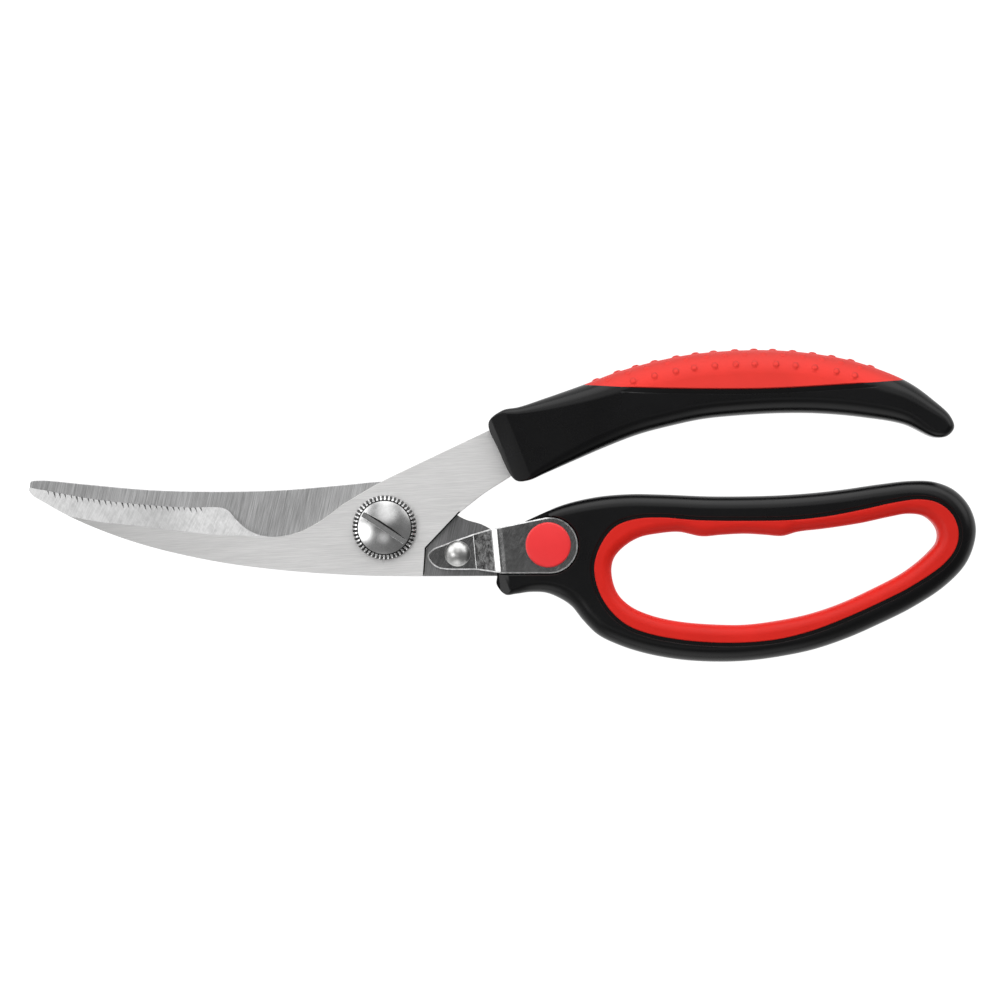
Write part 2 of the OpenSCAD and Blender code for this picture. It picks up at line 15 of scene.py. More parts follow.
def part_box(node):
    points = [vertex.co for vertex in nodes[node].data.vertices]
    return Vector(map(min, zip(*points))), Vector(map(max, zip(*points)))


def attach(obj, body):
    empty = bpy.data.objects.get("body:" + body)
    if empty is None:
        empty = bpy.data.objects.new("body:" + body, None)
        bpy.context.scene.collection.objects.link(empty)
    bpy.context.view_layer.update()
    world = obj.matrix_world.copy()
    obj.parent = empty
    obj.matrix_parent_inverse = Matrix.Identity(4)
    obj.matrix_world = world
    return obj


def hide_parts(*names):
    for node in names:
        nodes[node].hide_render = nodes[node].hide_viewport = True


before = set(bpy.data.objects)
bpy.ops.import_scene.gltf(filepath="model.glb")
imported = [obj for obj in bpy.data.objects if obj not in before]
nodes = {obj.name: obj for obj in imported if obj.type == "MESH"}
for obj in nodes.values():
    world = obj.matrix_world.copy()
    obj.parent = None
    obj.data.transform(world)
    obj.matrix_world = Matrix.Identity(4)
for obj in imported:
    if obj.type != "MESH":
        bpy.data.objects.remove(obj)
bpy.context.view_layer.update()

MM = 0.001
HANDLE_LOW, HANDLE_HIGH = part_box("lower_handle")
HALF = (HANDLE_HIGH.z - HANDLE_LOW.z) / 2 / MM

# Levels about the plane where the blades meet.
FRONT_LOW, FRONT_TOP = 0.05, 3.05
REAR_LOW = -3.0
RING_LOW, RING_TOP = 3.40, 5.30
HEAD_R, HEAD_RISE = 7.2, 1.3
SLOT_W, SLOT_TURN = 1.8, -33.3
TEETH = 46
EDGE_T = 0.6
MERGE = 0.005  # points closer than this become one after each cut
RIVET = (19.7, -7.05)
LATCH_TURN = 5.5
PLATE_LOW, PLATE_T, PLATE_LIFT = 0.3, 0.8, 5.1
BUTTON_U, BUTTON_R = 24.6, 6.1
BUTTON_LOW, BUTTON_H = 6.2, 1.6
BED_TOP, WELL_LOW, WELL_R = 3.0, 0.4, 4.6

# Outlines, clockwise seen from above: x, y and, for the handles, the edge rounding.
UPPER = [
    (28.1, 28.3, 1.0), (31.8, 31.6, 1.4), (36.2, 32.5, 2.0), (43.1, 34.8, 3.4), (54.1, 38.7, 5.0),
    (62.8, 42.0, 6.0), (72.8, 44.8, 6.5), (83.0, 46.8, 6.5), (94.6, 47.8, 6.5),
    (104.9, 47.9, 6.5), (115.7, 47.0, 6.5), (126.1, 45.1, 6.5), (136.5, 41.6, 5.6),
    (142.4, 38.7, 4.6), (147.8, 34.7, 3.6), (152.6, 30.2, 2.4), (153.7, 27.0, 1.9),
    (151.8, 24.7, 1.9), (148.4, 24.4, 2.1), (140.3, 27.9, 3.8), (129.2, 29.8, 4.5),
    (118.0, 30.8, 4.5), (107.0, 30.9, 4.5), (94.6, 30.2, 4.5), (86.0, 29.3, 4.5),
    (77.4, 27.5, 4.5), (68.7, 25.2, 4.5), (60.3, 22.0, 4.5), (51.7, 18.3, 3.8),
    (43.1, 14.5, 2.4), (39.2, 12.8, 1.4), (36.0, 12.5, 1.0), (34.3, 13.8, 1.0),
    (30.9, 20.7, 1.0),
]
PAD_LINE = [
    (54.1, 38.5), (67.1, 37.8), (86.0, 37.4), (103.3, 37.5), (120.6, 38.4),
    (133.5, 39.3), (139.9, 39.8),
]
LOWER = [
    (31.5, -1.3, 0.8), (36.0, 0.7, 1.0), (42.0, 3.5, 2.0), (48.2, 6.1, 3.0),
    (57.1, 8.2, 3.5), (66.0, 9.0, 3.5), (74.9, 8.9, 3.5), (88.4, 8.4, 3.5),
    (104.6, 8.6, 3.5), (115.4, 9.3, 3.5), (124.3, 10.3, 3.5), (133.2, 11.6, 3.5),
    (142.2, 12.6, 3.5), (148.4, 12.3, 3.8), (153.8, 10.1, 4.0), (157.8, 5.8, 4.0),
    (159.6, 0.6, 4.0), (159.2, -4.3, 4.0), (156.7, -10.1, 4.0), (151.1, -15.9, 4.0),
    (142.6, -21.5, 4.0), (133.4, -26.1, 4.0), (124.5, -30.0, 4.0), (115.5, -33.0, 4.0),
    (106.2, -34.9, 4.0), (97.3, -36.0, 4.0), (88.4, -36.2, 4.0), (79.5, -35.6, 4.0),
    (70.6, -34.0, 4.0), (63.3, -31.7, 4.0), (57.6, -28.9, 4.0), (53.6, -25.0, 4.0),
    (50.5, -21.2, 4.0), (47.2, -19.0, 4.0), (43.6, -17.6, 3.4), (39.3, -17.4, 2.8),
    (35.5, -17.9, 1.8), (32.7, -18.1, 1.2), (30.3, -15.4, 0.9), (30.4, -13.2, 0.8),
]
LINER_OUTER = [
    (56.6, -10.1), (58.8, -3.8), (62.5, 0.4), (67.9, 2.3), (75.0, 2.7), (84.1, 2.0),
    (97.3, 1.8), (110.8, 2.1), (119.7, 3.1), (128.7, 4.8), (137.8, 6.8), (144.7, 7.6),
    (149.6, 6.5), (153.2, 3.4), (154.8, -0.9), (154.2, -5.2), (151.1, -9.6),
    (142.2, -15.8), (133.2, -20.4), (124.3, -24.4), (115.4, -27.8), (106.2, -30.1),
    (97.3, -31.0), (88.4, -31.0), (79.5, -30.2), (70.6, -28.4), (65.0, -26.0),
    (60.5, -21.8), (57.5, -16.3),
]
LINER_INNER = [
    (61.3, -12.3), (61.9, -8.4), (64.6, -5.2), (68.8, -2.7), (74.1, -1.6),
    (79.5, -1.2), (85.7, -2.4), (91.0, -2.0), (97.3, -1.7), (102.8, -2.0),
    (107.4, -2.3), (111.5, -1.2), (119.0, -0.3), (128.7, 1.2), (136.0, 2.8),
    (141.5, 3.7), (146.0, 2.9), (149.0, -0.3), (149.2, -3.6), (146.7, -6.9),
    (140.3, -12.1), (131.3, -16.9), (122.1, -21.0), (114.0, -23.6), (106.2, -25.2),
    (97.3, -26.3), (88.4, -26.2), (79.5, -25.4), (72.2, -23.8), (66.5, -21.3),
    (62.9, -17.7),
]
FRONT_EDGE = [
    (-96.6, 10.9), (-90.6, 9.8), (-80.3, 7.9), (-68.7, 6.5), (-54.1, 5.4), (-43.0, 5.0),
]
BONE_NOTCH = [
    (-40.2, 2.2), (-37.3, -0.4), (-33.5, -2.1), (-29.0, -2.5), (-23.1, -1.2),
    (-17.0, 2.0), (-11.2, 6.3),
]
FRONT_BACK = [
    (10.7, -13.2), (-7.2, -12.9), (-27.7, -11.5), (-45.2, -9.2), (-62.8, -5.3),
    (-74.7, -1.4), (-85.2, 3.1), (-95.3, 8.7),
]
BEVEL_LINE = [
    (-30, -2.4), (-43, -2.1), (-52.8, -1.2), (-67.6, 0.6), (-76, 1.4), (-85.2, 3.1),
    (-98, 6.5),
]
BEVEL_RIM = [
    (-30, 4.8), (-43.0, 5.0), (-54.1, 5.4), (-68.7, 6.5), (-80.3, 7.9), (-90.6, 9.8),
    (-98, 11.2),
]
REAR_SPINE = [
    (-95.9, 12.6), (-91.9, 12.7), (-80.3, 11.6), (-62.8, 10.1), (-45.2, 9.7),
    (-27.7, 10.1), (-12.0, 11.4), (-1.2, 12.4), (6.0, 12.4), (12.3, 10.1), (17.0, 6.4),
]
REAR_EDGE = [
    (-18.0, -5.6), (-27.7, -4.4), (-43.1, -1.0), (-59.8, 2.6), (-74.7, 5.5),
    (-87.6, 7.9), (-95.9, 9.9),
]
REAR_BEVEL_LINE = [
    (-14, 5.5), (-27.7, 3.0), (-43.1, 4.6), (-59.8, 7.4), (-74.7, 9.8), (-87.6, 12.2),
    (-98, 14.2),
]
REAR_BEVEL_RIM = [
    (-14, -6), (-27.7, -4.4), (-43.1, -1.0), (-59.8, 2.6), (-74.7, 5.5), (-87.6, 7.9),
    (-98, 10.4),
]


# ---------------------------------------------------------------- curves and outlines

def on_curve(p0, p1, p2, p3, s):
    """Point on a centripetal Catmull-Rom curve between p1 and p2."""
    def knot(a, b):
        return math.sqrt(math.dist(a[:2], b[:2]))
    t1 = knot(p0, p1)
    t2 = t1 + knot(p1, p2)
    t3 = t2 + knot(p2, p3)
    t = t1 + s * (t2 - t1)
    a1 = (p0 * (t1 - t) + p1 * t) / t1
    a2 = (p1 * (t2 - t) + p2 * (t - t1)) / (t2 - t1)
    a3 = (p2 * (t3 - t) + p3 * (t - t2)) / (t3 - t2)
    b1 = (a1 * (t2 - t) + a2 * t) / t2
    b2 = (a2 * (t3 - t) + a3 * (t - t1)) / (t3 - t1)
    return (b1 * (t2 - t) + b2 * (t - t1)) / (t2 - t1)


def closed_curve(points, n):
    c = [np.array(p, float) for p in points]
    m = len(c)
    return np.array([
        on_curve(c[i - 1], c[i], c[(i + 1) % m], c[(i + 2) % m], k / n)
        for i in range(m) for k in range(n)
    ])


def open_curve(points, n):
    c = [np.array(p, float) for p in points]
    e = [2 * c[0] - c[1]] + c + [2 * c[-1] - c[-2]]
    line = [
        on_curve(e[i], e[i + 1], e[i + 2], e[i + 3], k / n)
        for i in range(len(c) - 1) for k in range(n)
    ]
    return np.array(line + [c[-1]])


def inward(c):
    """Unit vectors to the right of a clockwise outline, which point inwards."""
    d = np.roll(c[:, :2], -1, 0) - np.roll(c[:, :2], 1, 0)
    d /= np.linalg.norm(d, axis=1)[:, None]
    return np.stack([d[:, 1], -d[:, 0]], 1)


def inset(c, distance):
    """A clockwise outline moved inwards, with mitred corners and less where it turns tightly."""
    def right(d):
        d = d / np.linalg.norm(d, axis=1)[:, None]
        return np.stack([d[:, 1], -d[:, 0]], 1)
    before = c - np.roll(c, 1, 0)
    after = np.roll(c, -1, 0) - c
    n1 = right(before)
    n2 = right(after)
    spread = np.maximum(1 + (n1 * n2).sum(1), 0.35)
    move = np.full(len(c), float(distance))
    if distance > 0:
        turn = n1[:, 0] * n2[:, 1] - n1[:, 1] * n2[:, 0]
        length = np.minimum(np.linalg.norm(before, axis=1), np.linalg.norm(after, axis=1))
        tight = np.where(turn < -0.02, 0.7 * length / np.maximum(-turn, 0.02), 99)
        for _ in range(3):
            tight = np.minimum(tight, np.minimum(np.roll(tight, 1), np.roll(tight, -1)) + 0.05)
        move = np.minimum(move, tight)
    return c + move[:, None] * (n1 + n2) / spread[:, None]


def ease(c, corner, reach, n=6):
    """A closed outline with the corner nearest to a point rounded over reach on both sides."""
    i = int(np.argmin(np.linalg.norm(c - np.array(corner), axis=1)))
    c = np.roll(c, -i, 0)

    def walk(line):
        left = reach
        for k in range(len(line) - 1):
            step = np.linalg.norm(line[k + 1] - line[k])
            if step >= left:
                return line[k] + (line[k + 1] - line[k]) * left / step, k + 1
            left -= step
        return line[-1], len(line) - 1

    ahead, skip_ahead = walk(c)
    back, skip_back = walk(np.concatenate([c[:1], c[:0:-1]]))
    arc = [
        (1 - t) ** 2 * back + 2 * t * (1 - t) * c[0] + t ** 2 * ahead
        for t in np.linspace(0, 1, n)
    ]
    rest = c[skip_ahead:len(c) - skip_back + 1]
    rest = rest[np.linalg.norm(rest - ahead, axis=1) > 1e-3]
    rest = rest[np.linalg.norm(rest - back, axis=1) > 1e-3]
    return np.concatenate([arc, rest])


# ---------------------------------------------------------------- meshes, in millimetres

def mesh_object(name, points, faces):
    mesh = bpy.data.meshes.new(name)
    mesh.from_pydata([tuple(map(float, p)) for p in points], [], faces)
    bm = bmesh.new()
    bm.from_mesh(mesh)
    bmesh.ops.recalc_face_normals(bm, faces=bm.faces)
    bm.to_mesh(mesh)
    bm.free()
    obj = bpy.data.objects.new(name, mesh)
    bpy.context.scene.collection.objects.link(obj)
    return obj


def loft(name, loops, capped=True, ring=False):
    """Joins equal loops of points, closed by a face at each end or round into a ring."""
    n = len(loops[0])
    rows = len(loops)
    faces = []
    for r in range(rows if ring else rows - 1):
        s = (r + 1) % rows
        for i in range(n):
            j = (i + 1) % n
            faces.append((r * n + i, s * n + i, s * n + j, r * n + j))
    if capped and not ring:
        faces.append(tuple(range(n)))
        faces.append(tuple(reversed(range((rows - 1) * n, rows * n))))
    return mesh_object(name, [p for loop in loops for p in loop], faces)


def level(c, z):
    return np.column_stack([c[:, :2], np.full(len(c), float(z))])


def plate(name, c, profile):
    """Solid of a clockwise outline, through (inset, height) steps from the bottom up."""
    return loft(name, [level(inset(c, d), z) for d, z in profile])


def prism(name, c, low, high):
    return loft(name, [level(np.asarray(c, float), z) for z in (low, high)])


def rounded_plate(name, c, half, steps=9):
    """Solid of a clockwise outline whose edges are rounded by each point's third value."""
    q = inward(c)
    r = c[:, 2]
    loops = []
    for sign in (-1, 1):
        turns = np.radians(np.linspace(90, 0, steps + 1) * -1) if sign < 0 else np.radians(
            np.linspace(0, 90, steps + 1))
        for a in turns:
            xy = c[:, :2] + q * (r * (1 - math.cos(a)))[:, None]
            z = sign * (half - r * (1 - abs(math.sin(a))))
            loops.append(np.column_stack([xy, z]))
    return loft(name, loops)


def lathe(name, profile, n=128, ring=False):
    """Solid turned about the Z axis from (radius, height) steps; radius 0 closes an end."""
    points = []
    rows = []
    for r, z in profile:
        if r <= 1e-6:
            rows.append([len(points)])
            points.append((0, 0, z))
        else:
            rows.append(list(range(len(points), len(points) + n)))
            points += [
                (r * math.cos(2 * math.pi * i / n), r * math.sin(2 * math.pi * i / n), z)
                for i in range(n)
            ]
    faces = []
    pairs = list(zip(rows, rows[1:])) + ([(rows[-1], rows[0])] if ring else [])
    for a, b in pairs:
        for i in range(n):
            j = (i + 1) % n
            if len(a) == 1:
                faces.append((a[0], b[i], b[j]))
            elif len(b) == 1:
                faces.append((a[j], a[i], b[0]))
            else:
                faces.append((a[i], b[i], b[j], a[j]))
    return mesh_object(name, points, faces)


def box_mesh(name, low, high, turn=0.0, about=(0, 0, 0)):
    x0, y0, z0 = low
    x1, y1, z1 = high
    obj = prism(name, [(x0, y0), (x0, y1), (x1, y1), (x1, y0)], z0, z1)
    obj.data.transform(Matrix.Translation(about) @ Matrix.Rotation(math.radians(turn), 4, "Z"))
    return obj


def bake(obj):
    """Applies the object's modifiers to its mesh."""
    deps = bpy.context.evaluated_depsgraph_get()
    mesh = bpy.data.meshes.new_from_object(obj.evaluated_get(deps))
    obj.modifiers.clear()
    obj.data = mesh
    return obj


def boolean(obj, other, operation="DIFFERENCE"):
    m = obj.modifiers.new("cut", "BOOLEAN")
    m.operation = operation
    m.solver = "EXACT"
    m.object = other
    bake(obj)
    bpy.data.objects.remove(other)
    bm = bmesh.new()
    bm.from_mesh(obj.data)
    bmesh.ops.remove_doubles(bm, verts=bm.verts, dist=MERGE)
    bmesh.ops.dissolve_degenerate(bm, edges=bm.edges, dist=MERGE)
    bm.to_mesh(obj.data)
    bm.free()
    return obj


def soften(obj, width, angle=40, segments=2):
    """Rounds a mesh's sharp edges."""
    m = obj.modifiers.new("round", "BEVEL")
    m.width = width
    m.segments = segments
    m.limit_method = "ANGLE"
    m.angle_limit = math.radians(angle)
    m.use_clamp_overlap = False
    m.miter_outer = "MITER_SHARP"
    return bake(obj)


def moved(obj, x, y, z=0.0, turn=0.0):
    obj.data.transform(Matrix.Translation((x, y, z)) @ Matrix.Rotation(math.radians(turn), 4, "Z"))
    return obj


def joined(name, objs):
    bm = bmesh.new()
    for o in objs:
        bm.from_mesh(o.data)
        bpy.data.objects.remove(o)
    mesh = bpy.data.meshes.new(name)
    bm.to_mesh(mesh)
    bm.free()
    obj = bpy.data.objects.new(name, mesh)
    bpy.context.scene.collection.objects.link(obj)
    return obj


def place(obj, body, replaced, materials, angle=32, slots=None):
    """Scales a finished piece into the row frame, shades it and fixes it to its body."""
    obj.data.transform(Matrix.Scale(MM, 4) @ Matrix.Translation((0, 0, HALF)))
    obj.data.polygons.foreach_set("use_smooth", [True] * len(obj.data.polygons))
    obj.data.set_sharp_from_angle(angle=math.radians(angle))
    obj.data.materials.clear()
    for m in materials:
        obj.data.materials.append(m)
    if slots is not None:
        obj.data.polygons.foreach_set("material_index", slots)
    w = obj.modifiers.new("normals", "WEIGHTED_NORMAL")
    w.keep_sharp = True
    w.weight = 50
    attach(obj, body)
    if replaced:
        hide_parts(*replaced)
    return obj


# ---------------------------------------------------------------- materials

class Shader:
    """A procedural material on the Principled shader."""

    def __init__(self, name, color, metallic=0.0, roughness=0.5):
        self.material = bpy.data.materials.new(name)
        self.material.use_nodes = True
        self.tree = self.material.node_tree
        self.out = self.tree.nodes["Principled BSDF"]
        self.set("Base Color", (*color, 1))
        self.set("Metallic", metallic)
        self.set("Roughness", roughness)
        self.normal = None
        self.place = self.add("ShaderNodeTexCoord").outputs["Object"]

    def set(self, socket, value):
        self.out.inputs[socket].default_value = value

    def add(self, kind, **settings):
        n = self.tree.nodes.new(kind)
        for key, value in settings.items():
            setattr(n, key, value)
        return n

    def link(self, a, b):
        self.tree.links.new(a, b)

    def stretched(self, scale, turn=0.0):
        """Object coordinates turned about Z by degrees, then scaled."""
        m1 = self.add("ShaderNodeMapping")
        m1.inputs["Rotation"].default_value = (0, 0, math.radians(-turn))
        self.link(self.place, m1.inputs["Vector"])
        m2 = self.add("ShaderNodeMapping")
        m2.inputs["Scale"].default_value = scale
        self.link(m1.outputs[0], m2.inputs["Vector"])
        return m2.outputs[0]

    def noise(self, scale, turn=0.0, detail=3.0, roughness=0.6, distortion=0.0):
        n = self.add("ShaderNodeTexNoise")
        n.inputs["Scale"].default_value = 1.0
        n.inputs["Detail"].default_value = detail
        n.inputs["Roughness"].default_value = roughness
        n.inputs["Distortion"].default_value = distortion
        self.link(self.stretched(scale, turn), n.inputs["Vector"])
        return n.outputs["Fac"]

    def remap(self, value, low, high, out_low, out_high):
        n = self.add("ShaderNodeMapRange", clamp=True)
        for key, v in zip(("From Min", "From Max", "To Min", "To Max"),
                          (low, high, out_low, out_high)):
            n.inputs[key].default_value = v
        self.link(value, n.inputs["Value"])
        return n.outputs["Result"]

    def math(self, operation, a, b):
        n = self.add("ShaderNodeMath", operation=operation)
        for socket, v in zip(n.inputs, (a, b)):
            if isinstance(v, (int, float)):
                socket.default_value = v
            else:
                self.link(v, socket)
        return n.outputs[0]

    def mix(self, factor, a, b, blend="MIX"):
        n = self.add("ShaderNodeMix", data_type="RGBA", blend_type=blend)
        for key, v in (("Factor", factor), ("A", a), ("B", b)):
            socket = [s for s in n.inputs if s.name == key and (
                s.type == "VALUE" if key == "Factor" else s.type == "RGBA")][0]
            if isinstance(v, (int, float)):
                socket.default_value = v
            elif isinstance(v, tuple):
                socket.default_value = (*v, 1)
            else:
                self.link(v, socket)
        return [s for s in n.outputs if s.type == "RGBA"][0]

    def color(self, socket):
        self.link(socket, self.out.inputs["Base Color"])

    def rough(self, socket):
        self.link(socket, self.out.inputs["Roughness"])

    def edge_on(self, low, high):
        """0 where the surface faces the viewer, up to 1 where it is seen edge-on."""
        n = self.add("ShaderNodeLayerWeight")
        return self.remap(n.outputs["Facing"], low, high, 0, 1)

    def bump(self, height, strength, distance):
        """Adds bump, with the height's full span in millimetres."""
        n = self.add("ShaderNodeBump")
        n.inputs["Strength"].default_value = strength
        n.inputs["Distance"].default_value = distance * MM
        self.link(height, n.inputs["Height"])
        if self.normal is not None:
            self.link(self.normal, n.inputs["Normal"])
        self.normal = n.outputs["Normal"]
        self.link(self.normal, self.out.inputs["Normal"])


def scaled(color, k):
    return tuple(min(1.0, c * k) for c in color)


def brushed(name, color, turn, roughness, line, contrast, depth, strays=0.0, darker=None):
    """Metal with fine lines along turn; line is their width in millimetres, and strays the
    strength of a few brighter single scratches. darker gives a second colour and the two
    places along X between which the first one turns into it."""
    s = Shader(name, color, 1.0, roughness)
    thin = s.noise((0.22 / MM, 1 / (line * MM), 0.22 / MM), turn, 2.0, 0.6)
    longer = s.noise((0.07 / MM, 0.45 / (line * MM), 0.07 / MM), turn, 2.0, 0.5)
    cloud = s.noise((0.04 / MM, 0.09 / MM, 0.06 / MM), turn, 2.0, 0.5)
    lines = s.math("ADD", s.math("MULTIPLY", thin, 0.5), s.math("MULTIPLY", longer, 0.3))
    lines = s.math("ADD", lines, s.math("MULTIPLY", cloud, 0.2))
    shade = s.mix(s.remap(lines, 0.38, 0.62, 0, 1), scaled(color, 1 - contrast),
                  scaled(color, 1 + contrast))
    if strays:
        single = s.noise((0.10 / MM, 0.8 / (line * MM), 0.1 / MM), turn + 2, 1.0, 0.4)
        shade = s.mix(s.remap(single, 0.68, 0.76, 0, strays), shade, scaled(color, 1.6))
    if darker:
        second, start, end = darker
        split = s.add("ShaderNodeSeparateXYZ")
        s.link(s.place, split.inputs[0])
        dark = s.mix(s.remap(lines, 0.38, 0.62, 0, 1), scaled(second, 1 - contrast),
                     scaled(second, 1 + contrast))
        shade = s.mix(s.remap(split.outputs["X"], start, end, 0, 1), shade, dark)
    # Painted shade: the colour halves where the metal is seen edge-on.
    s.color(s.mix(s.edge_on(0.12, 0.5), shade, scaled(color, 0.5)))
    s.rough(s.remap(longer, 0.3, 0.7, roughness * 0.9, roughness * 1.1))
    s.bump(thin, 0.5, depth)
    return s.material


def polished(name, color, roughness, depth=0.0015, streaks=0.3, cloudy=0.05):
    """Bright metal with faint polishing marks; cloudy is how far its tone varies."""
    s = Shader(name, color, 1.0, roughness)
    marks = s.noise((0.7 / MM,) * 3, 0, 3.0, 0.6, 0.8)
    hair = s.noise((0.3 / MM, 5.0 / MM, 0.3 / MM), 62, 2.0, 0.6)
    s.color(s.mix(s.remap(marks, 0.35, 0.65, 0, 1), scaled(color, 1 - cloudy),
                  scaled(color, 1 + cloudy)))
    s.rough(s.remap(hair, 0.3, 0.7, roughness * (1 - streaks), roughness * (1 + streaks)))
    s.bump(marks, 0.5, depth)
    return s.material


def moulded(name, color, roughness, grain, grain_depth, specular=0.5, rim=1.0):
    """Moulded plastic or rubber with a fine spark-eroded grain and faint handling wear.
    rim scales the colour where the surface is seen edge-on."""
    s = Shader(name, color, 0.0, roughness)
    s.set("Specular IOR Level", specular)
    fine = s.noise((1 / (grain * MM),) * 3, 0, 2.0, 0.5)
    wear = s.noise((0.05 / MM,) * 3, 0, 3.0, 0.55)
    shade = s.mix(s.remap(wear, 0.3, 0.7, 0, 1), scaled(color, 0.92), scaled(color, 1.08))
    # Painted shade: with rim below 1 the colour dims where the surface is seen edge-on.
    if rim < 1:
        shade = s.mix(s.edge_on(0.02, 0.5), shade, scaled(color, rim))
    s.color(shade)
    s.rough(s.remap(wear, 0.3, 0.7, roughness * 0.88, roughness * 1.12))
    s.bump(fine, 0.5, grain_depth)
    return s.material


FRONT_STEEL = (0.86, 0.855, 0.85)
BEVEL_STEEL = (0.42, 0.42, 0.42)
REAR_STEEL = (0.58, 0.58, 0.582)
TANG_STEEL = (0.24, 0.24, 0.242)
TANG_START, TANG_END = 0.004, 0.018
# Painted shade: the front blade darkens to 0.74 of its colour between X -32 and -80 mm, towards the tip.
front_face = brushed("front_steel", FRONT_STEEL, 3, 0.54, 0.07, 0.10, 0.0025, 0.15,
                     (scaled(FRONT_STEEL, 0.74), -0.032, -0.080))
rear_face = brushed("rear_steel", REAR_STEEL, 77, 0.42, 0.10, 0.32, 0.006, 0.9,
                    (TANG_STEEL, TANG_START, TANG_END))
# Near-black colour on the front blade's sheared-end chamfer: a painted shadow line along that edge.
shadow_line_paint = polished("painted_shadow_line_steel", (0.02, 0.02, 0.02), 0.5)
screw_steel = polished("screw_steel", (0.66, 0.66, 0.66), 0.20, 0.0015, 0.15)
# Dark steel for the screw's slot walls and head rim: painted shade.
screw_shade_paint = polished("screw_painted_shade_steel", (0.10, 0.10, 0.10), 0.45)
ring_steel = polished("ring_steel", (0.86, 0.86, 0.86), 0.20)
# Dark steel for the knurled ring's valleys and inner faces: painted shade.
ring_shade_paint = polished("ring_painted_shade_steel", (0.09, 0.09, 0.09), 0.35)
rivet_steel = polished("rivet_steel", (0.60, 0.60, 0.59), 0.32, 0.0008, 0.1)
plate_steel = polished("latch_steel", (0.48, 0.48, 0.48), 0.15, 0.006, 0.5, 0.14)
# Darker copy of the latch steel for the ramp's top: painted shade, with its polishing blotches.
bend_shade_paint = polished("latch_bend_painted_shade", (0.20, 0.20, 0.20), 0.17, 0.16, 0.6, 0.7)
plain_steel = brushed("plain_steel_finish", (0.48, 0.48, 0.48), 15, 0.34, 0.10, 0.06, 0.002)
spring_wire = polished("spring_wire_finish", (0.52, 0.52, 0.54), 0.28)
bronze = polished("bronze_finish", (0.66, 0.46, 0.24), 0.30)
nylon = moulded("nylon_finish", (0.78, 0.77, 0.72), 0.45, 0.3, 0.01)
black = moulded("black_plastic_finish", (0.0012, 0.0012, 0.0016), 0.28, 0.30, 0.010, 0.33)
# The red grip's rim of 0.66 is painted shade on its rounded shoulders.
red_grip = moulded("red_grip_finish", (0.90, 0.042, 0.030), 0.58, 0.30, 0.010, 0.32, 0.66)
red_liner = moulded("red_liner_finish", (0.70, 0.011, 0.004), 0.50, 0.30, 0.010, 0.3)
red_plastic = moulded("red_plastic_finish", (0.95, 0.040, 0.044), 0.30, 0.6, 0.003, 0.45)


def painted_rim_highlight():
    """Painted highlight: near-white, barely metallic colour along a polished plate's edges."""
    s = Shader("latch_edge_painted_highlight", (0.9, 0.9, 0.9), 0.1, 0.45)
    marks = s.noise((1.2 / MM,) * 3, 0, 3.0, 0.6)
    s.color(s.mix(s.remap(marks, 0.40, 0.60, 0, 1), (0.62, 0.62, 0.62), (0.97, 0.97, 0.97)))
    s.rough(s.remap(marks, 0.3, 0.7, 0.30, 0.50))
    return s.material


latch_rim_highlight = painted_rim_highlight()


def bevel_material():
    """The ground band along the front blade's edge, with crossing grinding marks."""
    s = Shader("front_bevel_steel", BEVEL_STEEL, 1.0, 0.38)
    one = s.noise((0.25 / MM, 2.2 / MM, 0.25 / MM), 66, 3.0, 0.7, 0.4)
    two = s.noise((0.25 / MM, 1.8 / MM, 0.25 / MM), -50, 3.0, 0.7, 0.4)
    cloud = s.noise((0.45 / MM, 0.45 / MM, 0.45 / MM), 0, 4.0, 0.65)
    lines = s.math("ADD", s.math("MULTIPLY", one, 0.4), s.math("MULTIPLY", two, 0.2))
    lines = s.math("ADD", lines, s.math("MULTIPLY", cloud, 0.4))
    shade = s.mix(s.remap(lines, 0.38, 0.62, 0, 1), scaled(BEVEL_STEEL, 0.76),
                  scaled(BEVEL_STEEL, 1.20))
    split = s.add("ShaderNodeSeparateXYZ")
    s.link(s.place, split.inputs[0])
    # Painted shade dims the band's middle along X, and painted highlight brightens it from X -60 mm on.
    painted_dip_shade = s.remap(split.outputs["X"], -0.075, -0.063, 0.94, 0.82)
    painted_right_light = s.remap(split.outputs["X"], -0.060, -0.050, 0.0, 0.33)
    s.color(s.mix(1.0, shade, s.math("ADD", painted_dip_shade, painted_right_light), "MULTIPLY"))
    s.rough(s.remap(cloud, 0.3, 0.7, 0.30, 0.46))
    s.bump(lines, 0.7, 0.02)
    return s.material


front_bevel = bevel_material()


# ---------------------------------------------------------------- blades

def ground_cutter(line, rim, face, edge, n=10):
    """Slanted cutter that grinds a bevel from a line on a face out past the edge."""
    s = 1 if face > edge else -1
    grow = 0.25
    a = open_curve(line, n)
    b = open_curve(rim, n)
    drop = face - edge
    loops = []
    for p, q in zip(a, b):
        near = p - (q - p) * grow
        far = q + (q - p) * grow
        loops.append(np.array([
            (*near, face + drop * grow), (*far, edge - drop * grow),
            (*far, face + s * 2), (*near, face + s * 2),
        ]))
    return loft("cutter", loops)


